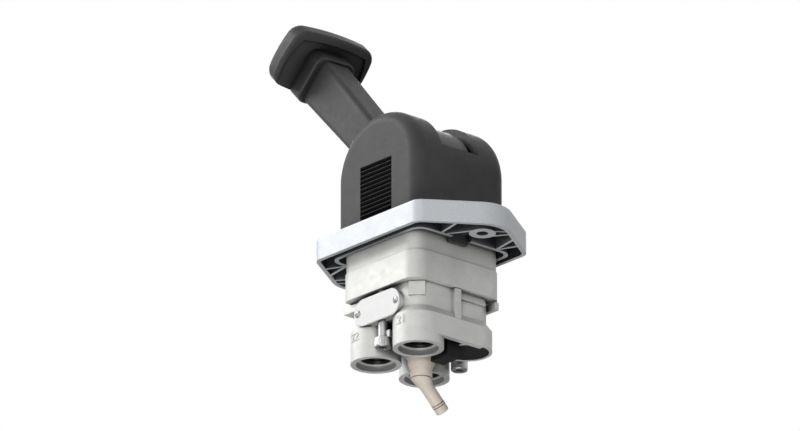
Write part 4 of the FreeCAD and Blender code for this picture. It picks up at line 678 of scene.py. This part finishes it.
NODE_FINISHES: dict[str, Finish] = {
    "mounting_flange": SILVER, "cover": COVER_BLACK, "upper_housing": CASTING,
    "port_block": CASTING, "body_gasket": FIBRE, "body_screws": ZINC, "flange_screws": ZINC,
    "label_plate": PLATE, "plate_rivets": ZINC, "exhaust_elbow": BEIGE, "silencer_insert": INSERT,
    "axle_bushes": BRONZE, "axle": STEEL, "axle_clips": WIRE, "cam": STEEL,
    "lever_drum": DRUM_BLACK, "lever_core": STEEL, "latch_rod": STEEL, "latch_pin": STEEL,
    "latch_spring": WIRE, "handle": HANDLE_BLACK, "plunger": STEEL, "plunger_seal": RUBBER,
    "graduating_spring": WIRE, "balance_piston": PISTON, "piston_seal": RUBBER,
    "return_spring": WIRE, "stem_seal": RUBBER, "valve_seat": BRASS, "inlet_seal": RUBBER,
    "inlet_valve": BRASS, "inlet_spring": WIRE,
}


class Workshop:
    """Keeps one material for each finish and puts meshes into the scene."""

    def __init__(self) -> None:
        """Start with no materials made."""
        self.made: dict[str, bpy.types.Material] = {}

    def material(self, finish: Finish) -> bpy.types.Material:
        """Fetch the material of a finish, made the first time it is asked for.

        Args:
            finish: the finish.

        Returns:
            Its one material.
        """
        if finish.name not in self.made:
            self.made[finish.name] = finish.material()
        return self.made[finish.name]

    def piece(self, name: str, mesh: bmesh.types.BMesh, finish: Finish, slot: str,
              body: str = "valve") -> bpy.types.Object:
        """Turn a bmesh into a piece that rides on a body.

        Args:
            name: the piece's name.
            mesh: its geometry in metres, freed here.
            finish: what it is made of.
            slot: the record's material slot, which is not used.
            body: the body it moves with.

        Returns:
            The new object.
        """
        bmesh.ops.recalc_face_normals(mesh, faces=mesh.faces)
        data = bpy.data.meshes.new(name)
        mesh.to_mesh(data)
        mesh.free()
        made = bpy.data.objects.new(name, data)
        bpy.context.scene.collection.objects.link(made)
        data.materials.append(self.material(finish))
        smooth_by_angle(made)
        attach(made, body)
        LOG.info("made %s with %d faces", name, len(data.polygons))
        return made

    def dress(self, node: str, finish: Finish) -> None:
        """Give a CAD node its finish.

        Args:
            node: the node's name.
            finish: what it is made of.
        """
        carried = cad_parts[node]
        carried.data.materials.clear()
        carried.data.materials.append(self.material(finish))
        smooth_by_angle(carried)
        LOG.info("dressed %s in %s", node, finish.name)


def smooth_by_angle(piece: bpy.types.Object, degrees: float = 32.0) -> None:
    """Shade a piece smoothly except across its sharp edges.

    Args:
        piece: the piece.
        degrees: the angle from which an edge is sharp.
    """
    bpy.ops.object.select_all(action="DESELECT")
    piece.select_set(True)
    bpy.context.view_layer.objects.active = piece
    bpy.ops.object.shade_smooth_by_angle(angle=math.radians(degrees))


def join_rings(mesh: bmesh.types.BMesh, rings: list[Ring]) -> None:
    """Skin a list of rings of equal count, and close both ends.

    Args:
        mesh: the mesh that gains the faces.
        rings: the rings in order.
    """
    made = [[mesh.verts.new(point) for point in ring] for ring in rings]
    count = len(rings[0])
    for low, high in zip(made, made[1:]):
        for i in range(count):
            after = (i + 1) % count
            mesh.faces.new((low[i], low[after], high[after], high[i]))
    mesh.faces.new(reversed(made[0]))
    mesh.faces.new(made[-1])


@dataclass
class PortThreads:
    """The thread turns cut in the three ports.

    A ridge is height high, reaches flank pitches to each side and sits root deep in the wall. Its
    ends fade to the share least of its height, at fade times its height per turn.
    """

    shop: Workshop
    spread: float = 16.0 * MM
    wall: float = 7.25 * MM
    root: float = 0.04 * MM
    height: float = 0.55 * MM
    pitch: float = 1.5 * MM
    flank: float = 0.42
    fade: float = 2.0
    least: float = 0.02
    mouth: float = -52.5 * MM
    turns: float = 8.0
    steps: int = 48
    corners: dict[str, tuple[int, int]] = field(default_factory=lambda: {
        "near": (1, -1), "left": (-1, -1), "far": (-1, 1)})

    def build(self) -> None:
        """Make one helical ridge for each port."""
        for name, (side_x, side_y) in self.corners.items():
            mesh = bmesh.new()
            self._ridge(mesh, side_x * self.spread, side_y * self.spread)
            self.shop.piece(f"port_thread_{name}", mesh, CASTING, "block_casting")

    def _ridge(self, mesh: bmesh.types.BMesh, centre_x: float, centre_y: float) -> None:
        """Add one ridge of triangular section about a port's axis.

        Args:
            mesh: the mesh that gains the ridge.
            centre_x: where the axis lies along x.
            centre_y: where the axis lies along y.
        """
        half = self.pitch * self.flank
        outer = self.wall + self.root
        profile = ((outer, -half), (self.wall - self.height, 0.0), (outer, half))
        total = int(self.turns * self.steps)
        previous = None
        for step in range(total + 1):
            angle = FULL_TURN * step / self.steps
            rise = self.mouth + self.pitch * step / self.steps
            fade = min(1.0, step / self.steps * self.fade,
                       (total - step) / self.steps * self.fade)
            row = []
            for radius, offset in profile:
                reach = outer - (outer - radius) * max(fade, self.least)
                row.append(mesh.verts.new((centre_x + reach * math.cos(angle),
                                           centre_y + reach * math.sin(angle), rise + offset)))
            if previous:
                for i in range(3):
                    after = (i + 1) % 3
                    mesh.faces.new((previous[i], previous[after], row[after], row[i]))
            else:
                mesh.faces.new(row)
            previous = row
        mesh.faces.new(reversed(previous))


@dataclass
class CapScrews:
    """The two long cap screws, with knurled heads and six-lobed sockets."""

    shop: Workshop
    place: float = 25.3 * MM
    seat: float = -49.0 * MM
    end: float = -11.0 * MM
    shank: float = 2.5 * MM
    fillet: float = 0.3 * MM
    fillet_height: float = 0.4 * MM
    tip_height: float = 0.6 * MM
    tip_taper: float = 0.5 * MM
    head: float = 4.25 * MM
    height: float = 5.0 * MM
    chamfer: float = 0.45 * MM
    neck: float = 0.25 * MM
    neck_height: float = 0.4 * MM
    socket: float = 2.05 * MM
    socket_depth: float = 2.6 * MM
    socket_mouth: float = 0.25 * MM
    socket_flare: float = 0.45 * MM
    drill_tip: float = 0.3 * MM
    drill_depth: float = 0.5 * MM
    lobe: float = 0.28 * MM
    lobes: int = 6
    knurl: float = 0.09 * MM
    knurls: int = 32
    steps: int = 128

    def build(self) -> None:
        """Make both screws as one piece that stands for the CAD node."""
        mesh = bmesh.new()
        for side in (-1, 1):
            join_rings(mesh, self._rings(side * self.place))
        made = self.shop.piece("cap_screws", mesh, ZINC, "screw_steel")
        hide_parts("body_screws")

    def _rings(self, centre_y: float) -> list[Ring]:
        """Lay out one screw, from the floor of its socket over the head to its tip.

        Args:
            centre_y: where the screw stands.

        Returns:
            Rings of points in order.
        """
        bottom = self.seat - self.height
        floor = bottom + self.socket_depth
        grip = (self.head - self.knurl, self.knurl, self.knurls)
        key = (self.socket, self.lobe, self.lobes)
        outline = (
            (floor + self.drill_depth, self.drill_tip),
            (floor, *key),
            (bottom + self.socket_mouth, *key),
            (bottom, self.socket + self.socket_flare),
            (bottom, self.head - self.chamfer),
            (bottom + self.chamfer, *grip),
            (self.seat - self.neck_height, *grip),
            (self.seat, self.head - self.neck),
            (self.seat, self.shank + self.fillet),
            (self.seat + self.fillet_height, self.shank),
            (self.end - self.tip_height, self.shank),
            (self.end, self.shank - self.tip_taper),
        )
        return [self._ring(centre_y, *row) for row in outline]

    def _ring(self, centre_y: float, level: float, radius: float, wave: float = 0.0,
              lobes: int = 0) -> Ring:
        """Lay out a level ring whose radius may wave.

        Args:
            centre_y: where the screw stands.
            level: the ring's height.
            radius: its middle radius.
            wave: how far the radius swings to each side.
            lobes: how many waves go round.

        Returns:
            The ring's points.
        """
        points = []
        for i in range(self.steps):
            angle = FULL_TURN * i / self.steps
            reach = radius + wave * math.cos(lobes * angle)
            points.append(Vector((reach * math.cos(angle), centre_y + reach * math.sin(angle),
                                  level)))
        return points


@dataclass
class DriveScrews:
    """The two domed, slotted drive screws that hold the plate."""

    shop: Workshop
    pitch: float = 28.5 * MM
    drop: float = -33.3 * MM
    face: float = -29.6 * MM
    radius: float = 1.9 * MM
    rise: float = 0.88 * MM
    crown: float = 0.04 * MM
    slot: float = 0.32 * MM
    slot_depth: float = 0.42 * MM
    slot_slope: float = 0.08 * MM
    slot_floor: float = 0.02 * MM
    shank: float = 1.1 * MM
    length: float = 5.0 * MM
    tip: float = 0.5 * MM
    tip_share: float = 0.5
    tilts: tuple[float, float] = (0.5, 2.1)
    steps: int = 72
    layers: int = 14

    def build(self) -> None:
        """Make both drive screws as one piece that stands for the CAD node."""
        mesh = bmesh.new()
        for side, tilt in zip((-1, 1), self.tilts):
            join_rings(mesh, self._rings(side * self.pitch / 2, tilt))
        made = self.shop.piece("drive_screws", mesh, ZINC, "rivet_steel")
        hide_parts("plate_rivets")

    def _rings(self, centre_x: float, tilt: float) -> list[Ring]:
        """Lay out one screw, from the crown of its head to the end of its shank.

        Args:
            centre_x: where the screw stands along the plate.
            tilt: how far its slot is turned, in radians.

        Returns:
            Rings of points in order.
        """
        rings = []
        for layer in range(self.layers + 1):
            angle = 0.5 * math.pi * layer / self.layers
            radius = max(self.crown, self.radius * math.sin(angle))
            rings.append(self._ring(centre_x, radius, self.rise * math.cos(angle), tilt))
        for radius, depth in ((self.shank, 0.0), (self.shank, -self.length + self.tip),
                              (self.shank * self.tip_share, -self.length)):
            rings.append(self._ring(centre_x, radius, depth, None))
        return rings

    def _ring(self, centre_x: float, radius: float, height: float, tilt: float | None) -> Ring:
        """Lay out a ring square to the plate, sunk where the slot crosses it.

        Args:
            centre_x: where the screw stands along the plate.
            radius: the ring's radius.
            height: how far it stands out of the plate.
            tilt: how far the slot is turned, or None where there is no slot.

        Returns:
            The ring's points.
        """
        points = []
        for i in range(self.steps):
            angle = FULL_TURN * i / self.steps
            across, up = radius * math.cos(angle), radius * math.sin(angle)
            lift = height
            if tilt is not None:
                away = abs(across * math.sin(tilt) - up * math.cos(tilt))
                share = min(1.0, max(0.0, (self.slot - away) / self.slot_slope))
                lift = max(height - self.slot_depth * share, min(height, self.slot_floor))
            points.append(Vector((centre_x + across, self.face - lift, self.drop + up)))
        return points


@dataclass
class PortNumbers:
    """The raised numbers cast on the sides of two port bosses."""

    shop: Workshop
    spread: float = 16.0 * MM
    boss: float = 12.75 * MM
    height: float = 4.3 * MM
    figure_share: float = 0.70
    swell: float = 0.04 * MM
    proud: float = 0.28 * MM
    sunk: float = 0.05 * MM
    level: float = -46.2 * MM
    curve_steps: int = 6
    weld: float = 0.002 * MM
    longest_edge: float = 1.2 * MM
    cuts: int = 3
    marks: tuple[tuple[str, int, float], ...] = (("21", 1, 0.111), ("22", -1, -0.116))

    def build(self) -> None:
        """Make one small relief for each number, bent round its boss."""
        for number, side, lean in self.marks:
            mesh = self._relief(number)
            middle = math.atan2(-1.0, lean)
            for vertex in mesh.verts:
                angle = middle + vertex.co.x / self.boss
                reach = self.boss - self.sunk + vertex.co.z
                vertex.co = Vector((side * self.spread + reach * math.cos(angle),
                                    -self.spread + reach * math.sin(angle),
                                    self.level + vertex.co.y))
            self.shop.piece(f"port_number_{number}", mesh, CASTING, "block_casting")

    def _relief(self, number: str) -> bmesh.types.BMesh:
        """Draw a number as a flat relief.

        Args:
            number: the figures.

        Returns:
            The relief, with x along the number, y up and z outwards.
        """
        drawn = bpy.data.curves.new("number", "FONT")
        drawn.body = number
        drawn.size = self.height / self.figure_share
        drawn.align_x = "CENTER"
        drawn.extrude = (self.proud + self.sunk) / 2
        drawn.offset = self.swell
        drawn.resolution_u = self.curve_steps
        holder = bpy.data.objects.new("number", drawn)
        bpy.context.scene.collection.objects.link(holder)
        flat = bpy.data.meshes.new_from_object(holder)
        mesh = bmesh.new()
        mesh.from_mesh(flat)
        bpy.data.objects.remove(holder)
        bpy.data.curves.remove(drawn)
        bpy.data.meshes.remove(flat)
        bmesh.ops.remove_doubles(mesh, verts=mesh.verts, dist=self.weld)
        long_edges = [edge for edge in mesh.edges if edge.calc_length() > self.longest_edge]
        bmesh.ops.subdivide_edges(mesh, edges=long_edges, cuts=self.cuts, use_grid_fill=True)
        for vertex in mesh.verts:
            vertex.co.z += (self.proud + self.sunk) / 2
        return mesh


@dataclass
class HoseElbow:
    """The moulded exhaust elbow, with its bulge, its bend and the fine rings of its nipple.

    The rows of column are radius and height in millimetres, from the root in the block down. The
    rows of arm are radius and distance from the bend, out to the nipple's mouth.
    """

    shop: Workshop
    bend: float = -64.0 * MM
    slant: float = math.radians(45.0)
    throat: tuple[float, float] = (3.40, 5.6)
    throat_shares: tuple[float, ...] = (0.2, 0.4, 0.6, 0.8, 0.93)
    bore: tuple[float, float] = (2.3, 6.5)
    steps: int = 96
    column: tuple[tuple[float, float], ...] = (
        (4.50, -47.15), (4.50, -52.1), (5.80, -52.1), (6.45, -52.5), (6.78, -53.3),
        (6.80, -53.8), (6.80, -56.4), (6.70, -56.9), (5.62, -59.2), (5.50, -59.6),
        (5.50, -63.85), (5.42, -64.0), (5.05, -64.08), (5.05, -64.36), (5.30, -64.42),
        (5.14, -64.45))
    arm: tuple[tuple[float, float], ...] = (
        (3.40, 5.7), (3.40, 14.70), (3.44, 14.95), (3.16, 15.00), (3.16, 15.30),
        (3.52, 15.35), (3.55, 15.50), (3.55, 16.15), (3.50, 16.25), (3.16, 16.30),
        (3.16, 16.60), (3.46, 16.65), (3.42, 16.9), (3.40, 19.6), (3.30, 20.0),
        (3.05, 20.24), (2.80, 20.3), (2.45, 20.3), (2.30, 20.15))

    def build(self) -> None:
        """Make the elbow as one piece that stands for the CAD node."""
        rings = [self._column_ring(*row) for row in self.column]
        knee, throat = rings[-1], self._arm_ring(*self.throat)
        for share in self.throat_shares:
            rings.append([start.lerp(end, share) for start, end in zip(knee, throat)])
        rings += [self._arm_ring(*row) for row in self.arm]
        rings.append(self._arm_ring(*self.bore))
        mesh = bmesh.new()
        join_rings(mesh, rings)
        made = self.shop.piece("hose_elbow", mesh, BEIGE, "elbow_plastic")
        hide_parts("exhaust_elbow")

    def _column_ring(self, radius: float, height: float) -> Ring:
        """Lay out a level ring of the column, from millimetres."""
        return self._ring(radius * MM, Vector((0.0, 0.0, height * MM)), 0.0)

    def _arm_ring(self, radius: float, reach: float) -> Ring:
        """Lay out a ring square to the arm.

        Args:
            radius: the ring's radius in millimetres.
            reach: how far it lies from the bend, in millimetres.

        Returns:
            The ring's points.
        """
        out = reach * MM
        centre = Vector((0.0, out * math.sin(self.slant), self.bend - out * math.cos(self.slant)))
        return self._ring(radius * MM, centre, self.slant)

    def _ring(self, radius: float, centre: Vector, tilt: float) -> Ring:
        """Lay out a ring.

        Args:
            radius: the ring's radius.
            centre: its centre.
            tilt: how far its plane is turned towards the arm, in radians.

        Returns:
            The ring's points.
        """
        turned = Matrix.Rotation(tilt, 3, "X")
        points = []
        for i in range(self.steps):
            angle = FULL_TURN * i / self.steps
            spoke = Vector((radius * math.cos(angle), radius * math.sin(angle), 0.0))
            points.append(centre + turned @ spoke)
        return points


class Light(Enum):
    """The studio's lamps, by the names of their objects."""

    KEY = "key_lamp"
    EDGE = "edge_lamp"
    FILL = "fill_lamp"
    TOP = "top_lamp"
    BACK = "back_lamp"


@dataclass(frozen=True)
class Lamp:
    """A square soft lamp that looks at the object.

    It stands in a direction seen from the object. Distance and size are in metres, and its power
    is in watts.
    """

    light: Light
    direction: Point
    distance: float
    size: float
    power: float

    def build(self) -> None:
        """Hang the lamp in the scene."""
        data = bpy.data.lights.new(self.light.value, "AREA")
        data.size = self.size
        data.energy = self.power
        lamp = bpy.data.objects.new(self.light.value, data)
        bpy.context.scene.collection.objects.link(lamp)
        way = Vector(self.direction)
        lamp.location = way.normalized() * self.distance
        lamp.rotation_euler = (-way).to_track_quat("-Z", "Y").to_euler()


@dataclass
class Studio:
    """The pale floor, the soft lamps, the white surroundings and the camera.

    The camera sees as far as sight. The surroundings light the object at their own strength.
    """

    azimuth: float = 48.8
    elevation: float = -20.8
    lens: float = 400.0
    sensor: float = 36.0
    frame_width: float = 0.400
    aim_right: float = -10.6 * MM
    aim_up: float = 21.25 * MM
    sight: float = 50.0
    surroundings: float = 0.14
    floor_drop: float = -12.0
    floor_size: float = 72.0
    floor_sides: int = 96
    floor_grain: float = 0.8
    floor_greys: tuple[float, float] = (0.82, 0.85)
    floor_roughness: float = 0.8
    floor_gloss: float = 0.1
    floor_glow: float = 0.8
    lamps: tuple[Lamp, ...] = (
        Lamp(Light.KEY, (-0.62, -0.56, 0.60), 1.5, 0.8, 14.5),
        Lamp(Light.EDGE, (0.62, -0.75, 0.05), 1.5, 0.3, 3.2),
        Lamp(Light.FILL, (0.36, -0.62, -0.80), 1.6, 0.9, 11.5),
        Lamp(Light.TOP, (0.1, 0.3, 1.0), 1.6, 0.8, 1.5),
        Lamp(Light.BACK, (-0.75, 0.55, 0.45), 1.5, 0.8, 7.0))

    def build(self) -> None:
        """Make everything round the object."""
        self._world()
        self._floor()
        for lamp in self.lamps:
            lamp.build()
        self._camera()
        bpy.context.scene.view_settings.view_transform = "Standard"

    def _world(self) -> None:
        """Make it white to the camera and in reflections, and a plain pale light elsewhere."""
        world = bpy.data.worlds.new("studio")
        bpy.context.scene.world = world
        world.use_nodes = True
        tree = Tree(world.node_tree)
        path = tree.add("ShaderNodeLightPath")
        seen = tree.maths("MAXIMUM", path.outputs["Is Camera Ray"], path.outputs["Is Glossy Ray"])
        seen = tree.maths("MAXIMUM", seen, path.outputs["Is Transmission Ray"])
        background = tree.add("ShaderNodeBackground")
        background.inputs["Color"].default_value = (*WHITE, 1.0)
        tree.link(tree.spread(seen, self.surroundings, 1.0, 0.0, 1.0),
                  background.inputs["Strength"])
        output = tree.add("ShaderNodeOutputWorld")
        tree.link(background.outputs[0], output.inputs["Surface"])

    def _floor(self) -> None:
        """Lay a pale floor so far down that the camera can look up at the object."""
        mesh = bmesh.new()
        bmesh.ops.create_circle(mesh, cap_ends=True, segments=self.floor_sides,
                                radius=self.floor_size)
        data = bpy.data.meshes.new("floor")
        mesh.to_mesh(data)
        mesh.free()
        floor = bpy.data.objects.new("floor", data)
        bpy.context.scene.collection.objects.link(floor)
        floor.location = (0.0, 0.0, self.floor_drop)
        data.materials.append(self._floor_material())

    def _floor_material(self) -> bpy.types.Material:
        """Build the floor's pale grey, which is nearly white to the camera.

        Returns:
            The new material.
        """
        bench = Bench("pale_floor")
        cloud = bench.spread(bench.noise(self.floor_grain), 0.0, 1.0)
        low, high = (tint(WHITE, grey) for grey in self.floor_greys)
        bench.drive(Base_Color=bench.blend(cloud, low, high))
        bench.fix("Roughness", self.floor_roughness)
        bench.fix("Specular IOR Level", self.floor_gloss)
        glow = bench.add("ShaderNodeEmission")
        glow.inputs["Color"].default_value = (*WHITE, 1.0)
        glow.inputs["Strength"].default_value = 1.0
        mixed = bench.add("ShaderNodeMixShader")
        to_camera = bench.add("ShaderNodeLightPath").outputs["Is Camera Ray"]
        bench.link(bench.spread(to_camera, 0.0, self.floor_glow, 0.0, 1.0), mixed.inputs[0])
        bench.link(bench.shader.outputs["BSDF"], mixed.inputs[1])
        bench.link(glow.outputs[0], mixed.inputs[2])
        bench.link(mixed.outputs[0], bench.output.inputs["Surface"])
        return bench.material

    def _camera(self) -> None:
        """Set a long lens below the front right corner, as in the photograph."""
        turn = math.radians(self.azimuth)
        tilt = math.radians(self.elevation)
        back = Vector((math.sin(turn) * math.cos(tilt), -math.cos(turn) * math.cos(tilt),
                       math.sin(tilt)))
        right = Vector((math.cos(turn), math.sin(turn), 0.0))
        up = back.cross(right)
        target = right * self.aim_right + up * self.aim_up
        distance = self.frame_width * self.lens / self.sensor
        data = bpy.data.cameras.new("photo_view")
        data.lens = self.lens
        data.sensor_width = self.sensor
        data.clip_end = self.sight
        camera = bpy.data.objects.new("photo_view", data)
        bpy.context.scene.collection.objects.link(camera)
        turned = Matrix((right, up, back)).transposed().to_4x4()
        camera.matrix_world = Matrix.Translation(target + back * distance) @ turned
        bpy.context.scene.camera = camera


def main() -> None:
    """Dress the frame, add the fine pieces and set the studio."""
    logging.basicConfig(level=logging.INFO, format="%(message)s")
    shop = Workshop()
    for node, finish in NODE_FINISHES.items():
        shop.dress(node, finish)
    for assembly in (PortThreads, CapScrews, DriveScrews, PortNumbers, HoseElbow):
        assembly(shop).build()
    Studio().build()


if __name__ == "__main__":
    main()
